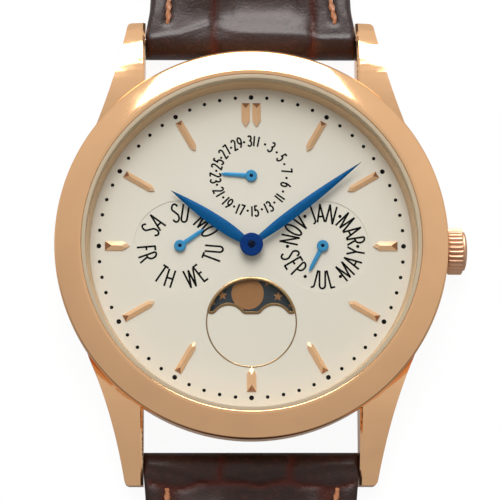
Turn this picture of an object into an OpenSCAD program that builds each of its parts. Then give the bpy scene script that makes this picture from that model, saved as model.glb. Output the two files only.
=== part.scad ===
// Quartz calendar watch with moon phase, lying flat with its strap open.
// Millimetres. +Z runs up through the dial, +Y points to 12 o'clock, +X to the crown.
// The origin is the centre of the case back's outer face, which rests on the table.

/* [Case] */
// Outside diameter of the bezel
case_d = 38; // [36:0.5:41]
// Width of the polished bezel, seen from above
bezel_w = 2.6; // [2.2:0.1:3]
// Height of the bezel's upright rim
bezel_rim_h = 2.3; // [1.5:0.05:2.6]
// Radius of the bezel's rounded slope
bezel_round_r = 9; // [6:0.5:14]
// Thickness of the case back
back_t = 1.2; // [1:0.05:1.6]
// Height of the case back's outer plate below the case
back_plate_t = 0.8; // [0.5:0.05:0.9]
// Clear distance between the inner faces of two lugs
lug_gap = 20.9; // [20.8:0.1:22]
// Distance from lug tip to lug tip along the strap
lug_to_lug = 46; // [45:0.5:48]
// Width of a lug at its tip
lug_tip_w = 1.75; // [1.5:0.05:2.2]
// Height of the lugs' undersides above the table
lug_z = 0.5; // [0.2:0.05:0.8]
// Radius of the lugs' downward curve
lug_round_r = 12; // [11.5:0.25:16]
// Radius of a lug's outer corner at the tip
lug_corner_r = 0.5; // [0.2:0.05:0.9]
// Width of the bevel along a lug's inner edge
lug_bevel = 0.25; // [0.1:0.05:0.5]

/* [Crystal and dial] */
// Height of the inner flange between dial and crystal
flange_h = 2; // [1.8:0.05:2.6]
// Width of the slope on the inner flange
flange_slope = 0.2; // [0.1:0.05:0.4]
// Thickness of the crystal
crystal_t = 1.6; // [1.2:0.1:2]
// How far the crystal stands above the bezel
crystal_proud = 0.2; // [0.1:0.05:0.4]
// Wall of the crystal's gasket
gasket_t = 0.45; // [0.3:0.05:0.5]
// Thickness of the dial
dial_t = 0.4; // [0.3:0.05:0.5]
// Distance from the dial's centre to the centres of the three small dials
subdial_offset = 6.93; // [6.6:0.01:7.2]
// Radius of the sunk day and month dials
subdial_r = 4.5; // [4:0.1:4.8]
// Depth of the sunk dials
subdial_depth = 0.08; // [0.04:0.01:0.15]
// Outer end of the hour markers, from the dial's centre
marker_r = 14.2; // [13.6:0.1:14.4]
// Length of a long hour marker
marker_l = 3.35; // [2.5:0.05:3.6]
// Width of a long hour marker
marker_w = 0.7; // [0.5:0.05:0.9]
// Length of the short markers at 3, 6 and 9
short_marker_l = 2.4; // [1.8:0.05:2.6]
// Width of the short markers
short_marker_w = 0.9; // [0.6:0.05:1.1]
// Height of the hour markers
marker_h = 0.4; // [0.25:0.05:0.6]

/* [Moon window] */
// Distance of the moon disc's centre below the dial's centre
moon_offset = 7.46; // [7.4:0.01:7.6]
// Radius of the window's outer arc
moon_window_r = 4.2; // [3.9:0.05:4.3]
// Radius of the two humps that hide the moon
moon_hump_r = 1.77; // [1.5:0.01:1.9]
// Distance of a hump's centre from the middle line
moon_hump_x = 2.2; // [2:0.02:2.3]
// Height of the window's straight lower edge above the disc's centre
moon_edge_y = 1.03; // [0.8:0.01:1.3]
// Width of the raised window frame
moon_frame_w = 0.2; // [0.12:0.01:0.25]

/* [Hands] */
// Hour shown
shown_hour = 10; // [0:1:11]
// Minutes shown
shown_minute = 8.8; // [0:0.1:59.9]
// Length of the hour hand
hour_hand_l = 9.45; // [8:0.05:10.4]
// Length of the minute hand
minute_hand_l = 13.4; // [12:0.05:14]
// Greatest width of the hour hand
hour_hand_w = 1; // [0.7:0.05:1.3]
// Greatest width of the minute hand
minute_hand_w = 0.85; // [0.6:0.05:1.2]
// Radius of the main hands' hubs
hub_r = 1.1; // [0.9:0.05:1.4]
// Thickness of a hand
hand_t = 0.15; // [0.1:0.01:0.18]
// Length of the date hand
date_hand_l = 2.95; // [2.4:0.05:3.1]
// Length of the day and month hands
small_hand_l = 2.82; // [2.4:0.05:3.1]
// Width of a small hand's arm
small_hand_w = 0.28; // [0.2:0.02:0.4]
// Radius of a small hand's hub
small_hub_r = 0.56; // [0.45:0.02:0.7]
// Clockwise angle of the date hand
date_angle = 274; // [0:1:359]
// Clockwise angle of the day hand
day_angle = 54.7; // [0:0.1:359]
// Clockwise angle of the month hand
month_angle = 208; // [0:1:359]

/* [Movement] */
// Diameter of the movement
movement_d = 25.2; // [25:0.1:25.6]
// Height of the movement below the dial
movement_h = 3.7; // [3.6:0.05:4]
// Diameter of the battery
battery_d = 6.8; // [5.8:0.1:7]
// Thickness of the battery
battery_h = 2.1; // [2:0.05:2.15]
// Module of the wheels that turn the hour hand
motion_module = 0.12; // [0.11:0.001:0.122]
// Module of the wheels from the rotor to the centre
train_module = 0.1; // [0.095:0.001:0.101]
// Height of the winding stem above the table
stem_z = 2.45; // [2.4:0.05:2.6]

/* [Crown] */
// Diameter of the crown
crown_d = 4.6; // [3.8:0.1:4.7]
// Length of the crown's fluted body
crown_l = 1.45; // [1.3:0.05:2.2]
// Height of the crown's domed cap
crown_cap_h = 0.5; // [0.4:0.05:0.8]
// Height of the cap's upright edge
crown_cap_edge = 0.2; // [0.1:0.05:0.3]
// Number of flutes
crown_flutes = 30; // [20:1:36]
// How far the crown pulls out to set the time
crown_pull = 1; // [0.6:0.1:1.2]

/* [Strap] */
// Width of the strap between the lugs
strap_w = 20.7; // [18:0.1:20.7]
// Width of the strap just past the lugs
strap_neck_w = 19.5; // [17:0.1:20.2]
// Width of the strap at the buckle
strap_end_w = 17.8; // [16:0.2:18.4]
// Distance from spring bar to buckle bar
strap_12_l = 75; // [70:1:90]
// Distance from spring bar to pointed tip
strap_6_l = 115; // [105:1:130]
// Radius of the strap's rounded end round the spring bar
strap_end_r = 1.85; // [1.5:0.05:1.88]
// Thickness just behind a spring bar
strap_dip_t = 3.2; // [3:0.1:3.5]
// Thickness over the padding, near the lugs
strap_pad_t = 4; // [3.2:0.1:4.6]
// Thickness of the strap past the padding
strap_flat_t = 2.4; // [2:0.1:2.6]
// Thickness of the lining
lining_t = 0.5; // [0.3:0.05:0.7]
// Number of buckle holes
strap_holes = 7; // [5:1:9]
// Distance from buckle hole to buckle hole
strap_hole_pitch = 6; // [5:0.5:7]
// Diameter of a buckle hole
strap_hole_d = 2.3; // [2.1:0.1:2.6]

/* [Spring bars and buckle] */
// Diameter of a spring bar
bar_d = 1.5; // [1.2:0.1:1.6]
// Distance of a spring bar from the lug tips
bar_inset = 1.7; // [1.6:0.05:1.9]
// Height of the spring bars above the table
bar_z = 1.9; // [1.88:0.02:2]
// Diameter of the pins at a spring bar's ends
bar_pin_d = 0.76; // [0.6:0.02:0.8]
// How far a spring bar's pin reaches into a lug
bar_pin_reach = 0.8; // [0.6:0.05:0.9]
// Length of the buckle frame beyond its bar
buckle_l = 10.6; // [9.5:0.1:13]
// Width of the buckle's cross bar
buckle_bar_w = 2.6; // [2:0.1:3.2]
// Width of the buckle's side arms
buckle_side_w = 1.6; // [1.4:0.1:2.4]
// Thickness of the buckle frame
buckle_t = 2.2; // [1.8:0.1:2.4]
// Width of the buckle's tongue
tongue_w = 1.9; // [1.6:0.1:2]
// Length of the leather keepers along the strap
keeper_l = 5.5; // [4:0.5:7]
// Thickness of the keepers' leather
keeper_t = 0.85; // [0.6:0.05:0.88]

/* [Hidden] */
$fn = 96;

// Clearances: pressed or seated pieces, pieces that turn, and free space round them
seat_fit = 0.02;
run_fit = 0.05;
air = 0.1;

// Colours
rose_gold = "#cda07d";
steel = "#b4b6b8";
brass = "#c9a85a";
blue = "#0a5596";
cream = "#ddd9ca";
leather = "#4b2d28";

// Heights, from the table up
case_r = case_d / 2;
bore_r = case_r - bezel_w;
movement_z = back_t + air;
plate_z = movement_z + 0.12 + battery_h;
dial_z = movement_z + movement_h;
dial_top = dial_z + dial_t;
seat_z = dial_top + 0.25;
crystal_z = dial_top + flange_h;
crystal_top = crystal_z + crystal_t;
bezel_top = crystal_top - crystal_proud;

// Radii inside the case
dial_r = bore_r - 0.5;
dial_seen_r = bore_r - 0.55 - flange_slope;
holder_r = bore_r - 0.15;
movement_r = movement_d / 2;
back_r = bore_r + 0.7;

// Lugs
tip_y = lug_to_lug / 2;
lug_x = lug_gap / 2;
lug_root_angle = 56.4;
lug_root = case_r * [sin(lug_root_angle), cos(lug_root_angle)];
lug_tip = [lug_x + lug_tip_w, tip_y];
lug_side_r = 48;
lug_top_y = 14;
lug_top_z = seat_z - 0.15 - lug_round_r;

// Spring bars
bar_y = tip_y - bar_inset;
bar_r = bar_d / 2;
bar_pin_r = bar_pin_d / 2;
bar_hole_depth = bar_pin_reach + 0.2;
bar_tube_l = lug_gap - 0.8;
bar_shank_l = 2.2;

// Feet that hold the dial in the main plate
dial_foot_at = [9.2, 6.8];
dial_foot_r = 0.35;

// The two markers side by side at 12
twin_marker_x = 0.53;
twin_marker_w = 0.82;

// Hand stack, above the dial
small_hand_z = dial_top + 0.2;
hour_hand_z = dial_top + 0.75;
minute_hand_z = hour_hand_z + 0.4;
arbor_r = 0.2;
cannon_r = 0.35;
hour_pipe_r = 0.62;
small_arbor_r = 0.15;
minute_angle = 6 * shown_minute;
hour_angle = 30 * (shown_hour + shown_minute / 60);

// Motion work: cannon pinion, minute wheel with its pinion, hour wheel
cannon_teeth = 10;
minute_teeth = 30;
minute_pinion_teeth = 8;
hour_teeth = 32;
motion_floor_z = plate_z + 0.6;
motion_low_z = motion_floor_z + run_fit;
motion_high_z = motion_low_z + 0.33;
motion_wheel_t = 0.25;
motion_distance = motion_module * (cannon_teeth + minute_teeth) / 2;
minute_wheel_dir = 45;
minute_wheel_at = motion_distance * [cos(minute_wheel_dir), sin(minute_wheel_dir)];

// Going train: rotor, intermediate wheel, third wheel, centre wheel
wheel_teeth = 60;
third_pinion_teeth = 20;
intermediate_pinion_teeth = 12;
rotor_pinion_teeth = 10;
third_dir = 150;
intermediate_dir = 60;
rotor_dir = 0;
third_at = train_at([0, 0], wheel_teeth + third_pinion_teeth, third_dir);
intermediate_at = train_at(third_at, wheel_teeth + intermediate_pinion_teeth, intermediate_dir);
rotor_at = train_at(intermediate_at, wheel_teeth + rotor_pinion_teeth, rotor_dir);
wheel_t = 0.2;
centre_level = plate_z - 0.5;
third_level = plate_z - 1;
intermediate_level = plate_z - 1.5;
bridge_z = plate_z - 2;
bridge_t = 0.35;
pivot_r = 0.1;
magnet_r = 0.8;
pillars = [[-7.4, 1.5], [-2.6, 8.9], [3.6, -2.6]];
pillar_r = 0.6;
battery_at = [-5, -6.2];
clamp_angle = -32;
clamp_reach = battery_d / 2 + 1.7;
clamp_t = 0.12;
board_posts = [[9.6, -5.4], [1.7, -11.1]];
coil_at = [3.6, 8.2];
coil_half = 2.8;

// Stem: its square end stays in the sliding pinion when the crown is pulled out
stem_r = 0.4;
pinion_x = 7.9;
pinion_l = 1.3;
square_x = pinion_x + 0.4 - crown_pull;
square_end_x = pinion_x + 2.6;
stem_shoulder_x = movement_r + 0.3;

// Calendar wheels under the dial
calendar_floor_z = dial_z - 0.55;
calendar_z = calendar_floor_z + run_fit;
moon_floor_z = dial_z - 0.38;
moon_disc_t = 0.18;
moon_r = moon_window_r + 0.6;

// Strap heights and places
buckle_y = bar_y + strap_12_l;
buckle_z = keeper_t + 0.05 + strap_flat_t / 2;
strap_loop_r = strap_flat_t / 2;
strap_lift = buckle_z - strap_loop_r;
taper_y = bar_y + 0.49 * strap_12_l;
strap_neck_l = 3.5;
dip_l = 3;
pad_rise_l = 6;
pad_fall_l = 31;
strap_point_l = 14;
strap_tip_y = bar_y + strap_6_l;
keeper_air = 0.3;
fixed_keeper_y = buckle_y - 4.75 - keeper_l / 2;
free_keeper_y = fixed_keeper_y - keeper_l - 7;
buckle_curve_r = 70;
buckle_in_x = strap_end_w / 2 + 0.5;
tongue_slot_w = tongue_w + 0.8;
tongue_ring_r = bar_r + 0.55;

// Place of the next wheel, its teeth in mesh, in a given direction from the last
function train_at(from, teeth, dir) = from + train_module * teeth / 2 * [cos(dir), sin(dir)];

// Turn that puts a gap of the second wheel against the first wheel's tooth
function mesh_turn(dir, teeth_a, turn_a, teeth_b) =
    dir + 180 - 360 / teeth_b * (0.5 - (dir - turn_a) * teeth_a / 360);

// Centre of the circle of radius r through a and b, to the left of the way from a to b
function arc_centre(a, b, r) =
    let (m = (a + b) / 2, d = b - a, l = norm(d))
    m + sqrt(r * r - l * l / 4) * [-d[1], d[0]] / l;

// Smooth change from a to b while t goes from 0 to 1
function blend(a, b, t) = let (u = min(1, max(0, t))) a + (b - a) * u * u * (3 - 2 * u);

// Outline of a wheel: four points for each tooth
module teeth_2d(count, m, turn = 0) {
    r = count * m / 2;
    pitch = 360 / count;
    polygon([for (i = [0:count - 1], k = [[-0.3, -1.2], [-0.13, 0.85], [0.13, 0.85], [0.3, -1.2]])
        (r + k[1] * m) * [cos(turn + (i + k[0]) * pitch), sin(turn + (i + k[0]) * pitch)]]);
}

module wheel(count, m, t, turn = 0) {
    linear_extrude(height = t) teeth_2d(count, m, turn);
}

// A wheel crossed out to a rim, hub and four arms
module crossed_wheel(count, m, t, turn = 0) {
    r = count * m / 2;
    difference() {
        wheel(count, m, t, turn);
        translate([0, 0, -t]) difference() {
            cylinder(r = r - 0.5, h = 3 * t);
            translate([0, 0, -t]) cylinder(r = 0.62, h = 5 * t);
            for (a = [45, 135]) rotate([0, 0, a])
                translate([-r, -0.2, -t]) cube([2 * r, 0.4, 5 * t]);
        }
    }
}

// Bezel ring, sloping up to the crystal in one rounded sweep
module bezel() {
    outer = [case_r, seat_z + bezel_rim_h];
    inner = [bore_r + 0.3, bezel_top];
    color(rose_gold) rotate_extrude($fn = 180) intersection() {
        translate([bore_r, seat_z]) square([bezel_w, bezel_top - seat_z]);
        translate(arc_centre(outer, inner, bezel_round_r)) circle(r = bezel_round_r);
    }
}

// Plan of a lug: hollow along its side, and rounded at its outer corner
module lug_plan() {
    r = lug_corner_r;
    side = arc_centre(lug_tip, lug_root, lug_side_r);
    y = tip_y - r;
    corner = [side[0] - sqrt(pow(lug_side_r + r, 2) - pow(y - side[1], 2)), y];
    out = (side - corner) / norm(side - corner);
    difference() {
        polygon([[lug_x, lug_root[1]], lug_root, lug_tip, [lug_x, tip_y]]);
        translate(side) circle(r = lug_side_r, $fn = 180);
        translate(corner) difference() {
            polygon([[0, 0], 2 * r * out, [2 * r, 2 * r], [0, 2 * r]]);
            circle(r = r);
        }
    }
}

// One lug: its plan, cut by a surface turned about an axis across the watch
module lug() {
    intersection() {
        translate([0, 0, lug_z]) linear_extrude(height = seat_z - lug_z) lug_plan();
        translate([0, lug_top_y, lug_top_z]) rotate([0, 90, 0]) rotate_extrude($fn = 180)
            polygon([[0, lug_x], [lug_round_r - lug_bevel, lug_x],
                [lug_round_r, lug_x + lug_bevel], [lug_round_r, case_r], [0, case_r]]);
    }
}

module case_middle() {
    side_r = 6;
    color(rose_gold) difference() {
        union() {
            rotate_extrude($fn = 180) intersection() {
                translate([bore_r, back_plate_t]) square([case_r - bore_r, seat_z - back_plate_t]);
                translate([case_r - 0.1 - side_r, seat_z - 1.35]) circle(r = side_r);
            }
            for (x = [0, 1], y = [0, 1]) mirror([x, 0, 0]) mirror([0, y, 0]) lug();
        }
        translate([0, 0, -1]) cylinder(r = bore_r, h = seat_z + 2, $fn = 180);
        cylinder(r = bore_r + 0.4, h = back_t, $fn = 180);
        cylinder(r = back_r + air, h = back_plate_t, $fn = 180);
        for (s = [-1, 1]) translate([0, s * bar_y, bar_z]) rotate([0, 90, 0])
            cylinder(r = bar_pin_r + 0.07, h = lug_gap + 2 * bar_hole_depth, center = true);
        translate([bore_r - 1, 0, stem_z]) rotate([0, 90, 0])
            cylinder(r = 1.1 + seat_fit, h = bezel_w + 2);
    }
}

module crystal() {
    r = bore_r - gasket_t;
    bevel = 0.3;
    color("#dfe8ea", 0.4) rotate_extrude($fn = 180) polygon([[0, crystal_z], [r, crystal_z],
        [r, crystal_top - bevel], [r - bevel, crystal_top], [0, crystal_top]]);
}

module crystal_gasket() {
    color("#d8d4cc") translate([0, 0, crystal_z]) difference() {
        cylinder(r = bore_r - seat_fit, h = bezel_top - crystal_z - 0.05, $fn = 180);
        translate([0, 0, -1])
            cylinder(r = bore_r - gasket_t + seat_fit, h = crystal_t + 2, $fn = 180);
    }
}

// Sloping ring between the dial and the crystal
module inner_flange() {
    color("#a58260") rotate_extrude($fn = 180) polygon([[dial_seen_r, dial_top],
        [bore_r - seat_fit, dial_top], [bore_r - seat_fit, crystal_z],
        [dial_seen_r + flange_slope, crystal_z], [dial_seen_r + flange_slope, crystal_z - 0.2]]);
}

// The window over the moon disc, grown by a margin all round
module moon_window(grow = 0) {
    difference() {
        circle(r = moon_window_r + grow);
        translate([-moon_r, -2 * moon_r]) square([2 * moon_r, 2 * moon_r + moon_edge_y - grow]);
        for (s = [-1, 1]) translate([s * moon_hump_x, 0.1]) circle(r = moon_hump_r - grow);
    }
}

module dial_plate() {
    color(cream) difference() {
        union() {
            translate([0, 0, dial_z]) cylinder(r = dial_r, h = dial_t, $fn = 180);
            for (s = [-1, 1]) translate([s * dial_foot_at[0], s * dial_foot_at[1], dial_z - 0.8])
                cylinder(r = dial_foot_r, h = 1);
        }
        translate([0, 0, dial_z - 1]) cylinder(r = hour_pipe_r + 0.1, h = 3);
        for (p = [[0, 1], [1, 0], [-1, 0]])
            translate([p[0] * subdial_offset, p[1] * subdial_offset, dial_z - 1])
                cylinder(r = 0.4, h = 3);
        for (s = [-1, 1]) translate([s * subdial_offset, 0, dial_top - subdial_depth])
            cylinder(r = subdial_r, h = 1);
        translate([0, -moon_offset, dial_z - 1]) linear_extrude(height = 3) moon_window();
    }
}

// Applied marker pointing at the centre: a roof ridge with sloping ends
module baton(l, w) {
    foot_h = 0.3 * marker_h;
    translate([0, marker_r - l, dial_top]) intersection() {
        translate([0, l, 0]) rotate([90, 0, 0]) linear_extrude(height = l)
            polygon([[-w / 2, 0], [w / 2, 0], [w / 2, foot_h], [0, marker_h], [-w / 2, foot_h]]);
        linear_extrude(height = marker_h)
            polygon([[0, 0], [w / 2, 0.8 * w], [w / 2, l], [-w / 2, l], [-w / 2, 0.8 * w]]);
        translate([w, 0, 0]) rotate([90, 0, -90]) linear_extrude(height = 2 * w)
            polygon([[0, 0], [-l, 0], [-l, foot_h], [-l + 0.7 * w, marker_h],
                [-0.9 * w, marker_h], [0, foot_h]]);
    }
}

module hour_markers() {
    color("#e0b48c") {
        for (h = [1, 2, 4, 5, 7, 8, 10, 11]) rotate([0, 0, -30 * h]) baton(marker_l, marker_w);
        for (h = [3, 6, 9]) rotate([0, 0, -30 * h]) baton(short_marker_l, short_marker_w);
        for (s = [-1, 1]) translate([s * twin_marker_x, 0, 0])
            baton(short_marker_l, twin_marker_w);
    }
}

// Raised rim of the moon window, with the fine ring that closes the circle below
module moon_frame() {
    line = 0.09;
    color("#96785a") translate([0, -moon_offset, dial_top]) {
        linear_extrude(height = 0.12) difference() {
            moon_window(moon_frame_w);
            moon_window(0);
        }
        linear_extrude(height = 0.05) difference() {
            circle(r = moon_window_r + moon_frame_w);
            circle(r = moon_window_r + moon_frame_w - line);
            translate([-moon_r, moon_edge_y - moon_frame_w]) square([2 * moon_r, 2 * moon_r]);
        }
    }
}

module movement_holder() {
    color("#e6e6e0") difference() {
        translate([0, 0, movement_z]) cylinder(r = holder_r, h = movement_h, $fn = 180);
        translate([0, 0, movement_z - 1])
            cylinder(r = movement_r + seat_fit, h = movement_h + 2, $fn = 180);
        translate([movement_r - 1, 0, stem_z]) rotate([0, 90, 0])
            cylinder(r = 0.8, h = holder_r - movement_r + 3);
        for (a = [45:90:315]) rotate([0, 0, a]) translate([movement_r + 1.9, 0, movement_z - 1])
            cylinder(r = 1.2, h = movement_h);
    }
}

module pivot_hole(at, z, h, r = pivot_r) {
    translate([at[0], at[1], z]) cylinder(r = r + run_fit, h = h);
}

// Main plate, sunk on the dial side for the motion work and the calendar wheels
module main_plate() {
    color(brass) difference() {
        union() {
            translate([0, 0, plate_z])
                cylinder(r = movement_r, h = dial_z - plate_z, $fn = 180);
            for (p = pillars) translate([p[0], p[1], bridge_z + bridge_t])
                cylinder(r = pillar_r, h = plate_z - bridge_z);
            for (s = [-1, 1]) translate([battery_at[0], battery_at[1], 0])
                rotate([0, 0, clamp_angle]) translate([s * clamp_reach, 0, movement_z + clamp_t])
                    cylinder(r = pillar_r, h = battery_h + 0.5);
            for (p = board_posts) translate([p[0], p[1], bridge_z + 0.2])
                cylinder(r = 0.5, h = plate_z - bridge_z);
            translate([10.2, -1.2, stem_z - 0.85]) cube([2, 2.4, plate_z - stem_z + 1]);
        }
        translate([0, 0, motion_floor_z]) cylinder(r = hour_teeth * motion_module / 2 + 0.3, h = 2);
        translate([minute_wheel_at[0], minute_wheel_at[1], motion_floor_z])
            cylinder(r = minute_teeth * motion_module / 2 + 0.3, h = 2);
        translate([0, subdial_offset, calendar_floor_z]) cylinder(r = 2.85, h = 2);
        for (s = [-1, 1]) translate([s * subdial_offset, 0, calendar_floor_z])
            cylinder(r = 2.45, h = 2);
        translate([0, -moon_offset, moon_floor_z]) cylinder(r = moon_r + 0.15, h = 2);
        pivot_hole([0, 0], plate_z - 1, 4, arbor_r);
        pivot_hole(minute_wheel_at, plate_z + 0.3, 2);
        for (p = [third_at, intermediate_at, rotor_at]) pivot_hole(p, plate_z - 0.1, 0.45);
        for (p = [[0, 1], [1, 0], [-1, 0]])
            pivot_hole(subdial_offset * p, calendar_floor_z - 0.4, 2, small_arbor_r);
        pivot_hole([0, -moon_offset], moon_floor_z - 0.4, 2, small_arbor_r);
        for (s = [-1, 1]) translate([s * dial_foot_at[0], s * dial_foot_at[1], dial_z - 0.85])
            cylinder(r = dial_foot_r + seat_fit, h = 2);
        translate([9, 0, stem_z]) rotate([0, 90, 0]) cylinder(r = stem_r + run_fit, h = 5);
        for (p = pillars) translate([p[0], p[1], 0]) cylinder(r = 0.3, h = plate_z - 0.4);
    }
}

module bar_between(a, b, w, t) {
    d = b - a;
    translate([a[0], a[1], 0]) rotate([0, 0, atan2(d[1], d[0])])
        translate([0, -w / 2, 0]) cube([norm(d), w, t]);
}

module train_bridge() {
    color(brass) translate([0, 0, bridge_z]) difference() {
        union() {
            for (p = [[0, 0], third_at, intermediate_at, rotor_at])
                translate([p[0], p[1], 0]) cylinder(r = 1.1, h = bridge_t);
            for (p = pillars) translate([p[0], p[1], 0]) cylinder(r = 1, h = bridge_t);
            bar_between(pillars[0], third_at, 1.6, bridge_t);
            bar_between(third_at, [0, 0], 1.8, bridge_t);
            bar_between([0, 0], pillars[2], 1.6, bridge_t);
            bar_between(third_at, intermediate_at, 1.8, bridge_t);
            bar_between(intermediate_at, pillars[1], 1.6, bridge_t);
            bar_between(intermediate_at, rotor_at, 1.8, bridge_t);
        }
        for (p = [third_at, intermediate_at, rotor_at]) pivot_hole(p, -1, 3);
        pivot_hole([0, 0], -1, 3, arbor_r);
        for (p = pillars) translate([p[0], p[1], -1]) cylinder(r = 0.32, h = 3);
    }
}

module bridge_screws() {
    head_t = bridge_z - movement_z - 0.04;
    color("#4a5a70") for (p = pillars) translate([p[0], p[1], bridge_z - head_t]) difference() {
        union() {
            cylinder(r = 0.55, h = head_t);
            cylinder(r = 0.28, h = head_t + bridge_t + 1);
        }
        translate([-1, -0.06, -0.1]) cube([2, 0.12, 0.18]);
    }
}

// Circuit board with its chip and soldering pads
module circuit_board() {
    color("#2c6a45") translate([0, 0, bridge_z]) {
        linear_extrude(height = 0.2) difference() {
            intersection() {
                circle(r = movement_r - 0.4);
                translate([0.5, -movement_r]) square([movement_r, movement_r - 4.2]);
            }
            translate([battery_at[0], battery_at[1]]) circle(r = battery_d / 2 + 0.4);
        }
        translate([2.4, -6.6, 0.2]) cube([2.2, 2, 0.7]);
        for (i = [0:4]) translate([5.4 + 0.7 * i, -6, 0.2]) cube([0.4, 0.9, 0.06]);
    }
}

// Sealed can of the quartz resonator, lying on the board
module quartz_resonator() {
    can_r = 0.72;
    color(steel) translate([3.1, -8.6, bridge_z + 0.2 + can_r]) rotate([0, 90, 0]) {
        cylinder(r = can_r, h = 4.6);
        translate([0, 0, 4.6]) cylinder(r = 0.5, h = 0.3);
        for (s = [-1, 1]) translate([0, 0.25 * s, 4.9]) cylinder(r = 0.08, h = 0.7, $fn = 24);
    }
}

module coil_core() {
    z = plate_z - 1;
    color(steel) translate([coil_at[0], coil_at[1], 0]) {
        translate([-coil_half - 0.3, 0, z]) rotate([0, 90, 0])
            cylinder(r = 0.43, h = 2 * coil_half + 0.6);
        for (s = [0, 1]) mirror([s, 0, 0]) translate([coil_half + 0.1, 0, 0]) {
            translate([0, -0.43, z - 0.43]) cube([0.3, 0.86, 1.11]);
            translate([0, -0.7, z + 0.48]) cube([1.6, 1.4, 0.2]);
        }
    }
}

module coil_winding() {
    color("#a8532c") translate([coil_at[0] - coil_half, coil_at[1], plate_z - 1])
        rotate([0, 90, 0]) difference() {
            cylinder(r = 0.92, h = 2 * coil_half);
            translate([0, 0, -1]) cylinder(r = 0.43 + seat_fit, h = 2 * coil_half + 2);
        }
}

module stator() {
    left = coil_at + [-coil_half - 1.35, 0];
    right = coil_at + [coil_half + 1, 0];
    color(steel) translate([0, 0, plate_z - 0.77]) difference() {
        union() {
            translate([rotor_at[0], rotor_at[1], 0]) cylinder(r = 1.7, h = 0.24);
            bar_between([rotor_at[0] - 0.6, rotor_at[1]], left, 1.2, 0.24);
            translate([rotor_at[0], rotor_at[1] - 0.6, 0])
                cube([right[0] - rotor_at[0] + 0.6, 1.2, 0.24]);
            translate([right[0] - 0.6, rotor_at[1], 0])
                cube([1.2, right[1] - rotor_at[1] + 0.6, 0.24]);
        }
        translate([rotor_at[0], rotor_at[1], -1]) cylinder(r = magnet_r + 0.2, h = 3);
    }
}

module battery() {
    r = battery_d / 2;
    color("#c4c6c8") translate([battery_at[0], battery_at[1], movement_z + clamp_t])
        rotate_extrude() polygon([[0, 0], [r - 0.15, 0], [r, 0.15], [r, battery_h - 0.5],
            [r - 0.35, battery_h - 0.35], [r - 0.35, battery_h], [0, battery_h]]);
}

module battery_clamp() {
    color(steel) translate([battery_at[0], battery_at[1], movement_z]) rotate([0, 0, clamp_angle])
        linear_extrude(height = clamp_t) {
            square([2 * clamp_reach, 1.6], center = true);
            for (s = [-1, 1]) translate([s * clamp_reach, 0]) circle(r = 0.8);
        }
}

// Pressed-in back: outer plate with a stepped face and a lip for the opening blade
module case_back() {
    color(steel) difference() {
        rotate_extrude($fn = 180) polygon([[0, 0], [back_r - 1.6, 0], [back_r - 1.4, 0.12],
            [back_r - 0.5, 0.12], [back_r, 0.45], [back_r, back_plate_t],
            [bore_r - 0.1, back_plate_t], [bore_r - 0.1, back_t], [0, back_t]]);
        rotate([0, 0, 30]) translate([back_r - 0.5, -1.2, 0.4]) cube([2, 2.4, 1]);
        translate([0, 0, -1]) difference() {
            cylinder(r = back_r - 3, h = 1.06);
            translate([0, 0, -1]) cylinder(r = back_r - 3.3, h = 3);
        }
    }
}

module back_gasket() {
    color("#2a2a2c") translate([0, 0, back_plate_t]) difference() {
        cylinder(r = bore_r + 0.4 - seat_fit, h = back_t - back_plate_t - 0.06, $fn = 180);
        translate([0, 0, -1]) cylinder(r = bore_r - 0.1 + seat_fit, h = 3, $fn = 180);
    }
}

module tube_x(x0, x1, r, bore) {
    translate([x0, 0, stem_z]) rotate([0, 90, 0]) difference() {
        cylinder(r = r, h = x1 - x0);
        translate([0, 0, -1]) cylinder(r = bore, h = x1 - x0 + 2);
    }
}

module crown_tube() {
    color(steel) tube_x(bore_r, case_r + 1, 1.1, 0.5);
}

// Spring bar: a tube across the lug gap, with a sprung pin in each end
module spring_bar(side) {
    color(steel) translate([-bar_tube_l / 2, side * bar_y, bar_z]) rotate([0, 90, 0]) difference() {
        cylinder(r = bar_r, h = bar_tube_l);
        translate([0, 0, -1]) cylinder(r = bar_pin_r + 0.12, h = bar_tube_l + 2);
    }
}

module spring_bar_12() spring_bar(1);
module spring_bar_6() spring_bar(-1);

module bar_pin(side, end) {
    color("#9a9da0") translate([0, side * bar_y, bar_z]) mirror([end < 0 ? 1 : 0, 0, 0])
        rotate([0, 90, 0]) {
            translate([0, 0, bar_tube_l / 2 - bar_shank_l])
                cylinder(r = bar_pin_r + 0.07, h = bar_shank_l);
            translate([0, 0, bar_tube_l / 2 - 0.1])
                cylinder(r = bar_pin_r, h = lug_x + bar_pin_reach - bar_tube_l / 2 + 0.1);
        }
}

module bar_pin_12_left() bar_pin(1, -1);
module bar_pin_12_right() bar_pin(1, 1);
module bar_pin_6_left() bar_pin(-1, -1);
module bar_pin_6_right() bar_pin(-1, 1);

// Going train
third_turn = mesh_turn(third_dir, wheel_teeth, 0, third_pinion_teeth);
intermediate_turn =
    mesh_turn(intermediate_dir, wheel_teeth, third_turn, intermediate_pinion_teeth);
rotor_turn = mesh_turn(rotor_dir, wheel_teeth, intermediate_turn, rotor_pinion_teeth);

module arbor(at, z0, z1, r) {
    translate([at[0], at[1], z0]) cylinder(r = r, h = z1 - z0);
}

module centre_wheel() {
    color(brass) {
        translate([0, 0, centre_level]) crossed_wheel(wheel_teeth, train_module, wheel_t);
        arbor([0, 0], bridge_z + 0.05, minute_hand_z + hand_t, arbor_r);
        arbor([0, 0], centre_level - 0.15, centre_level + 0.3, 0.4);
    }
}

module train_wheel(at, z, turn, pinion, pinion_z) {
    color(brass) {
        translate([at[0], at[1], z]) crossed_wheel(wheel_teeth, train_module, wheel_t, turn);
        translate([at[0], at[1], z]) wheel(pinion, train_module, pinion_z + wheel_t - z, turn);
        arbor(at, bridge_z + 0.05, plate_z + 0.3, pivot_r);
    }
}

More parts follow.
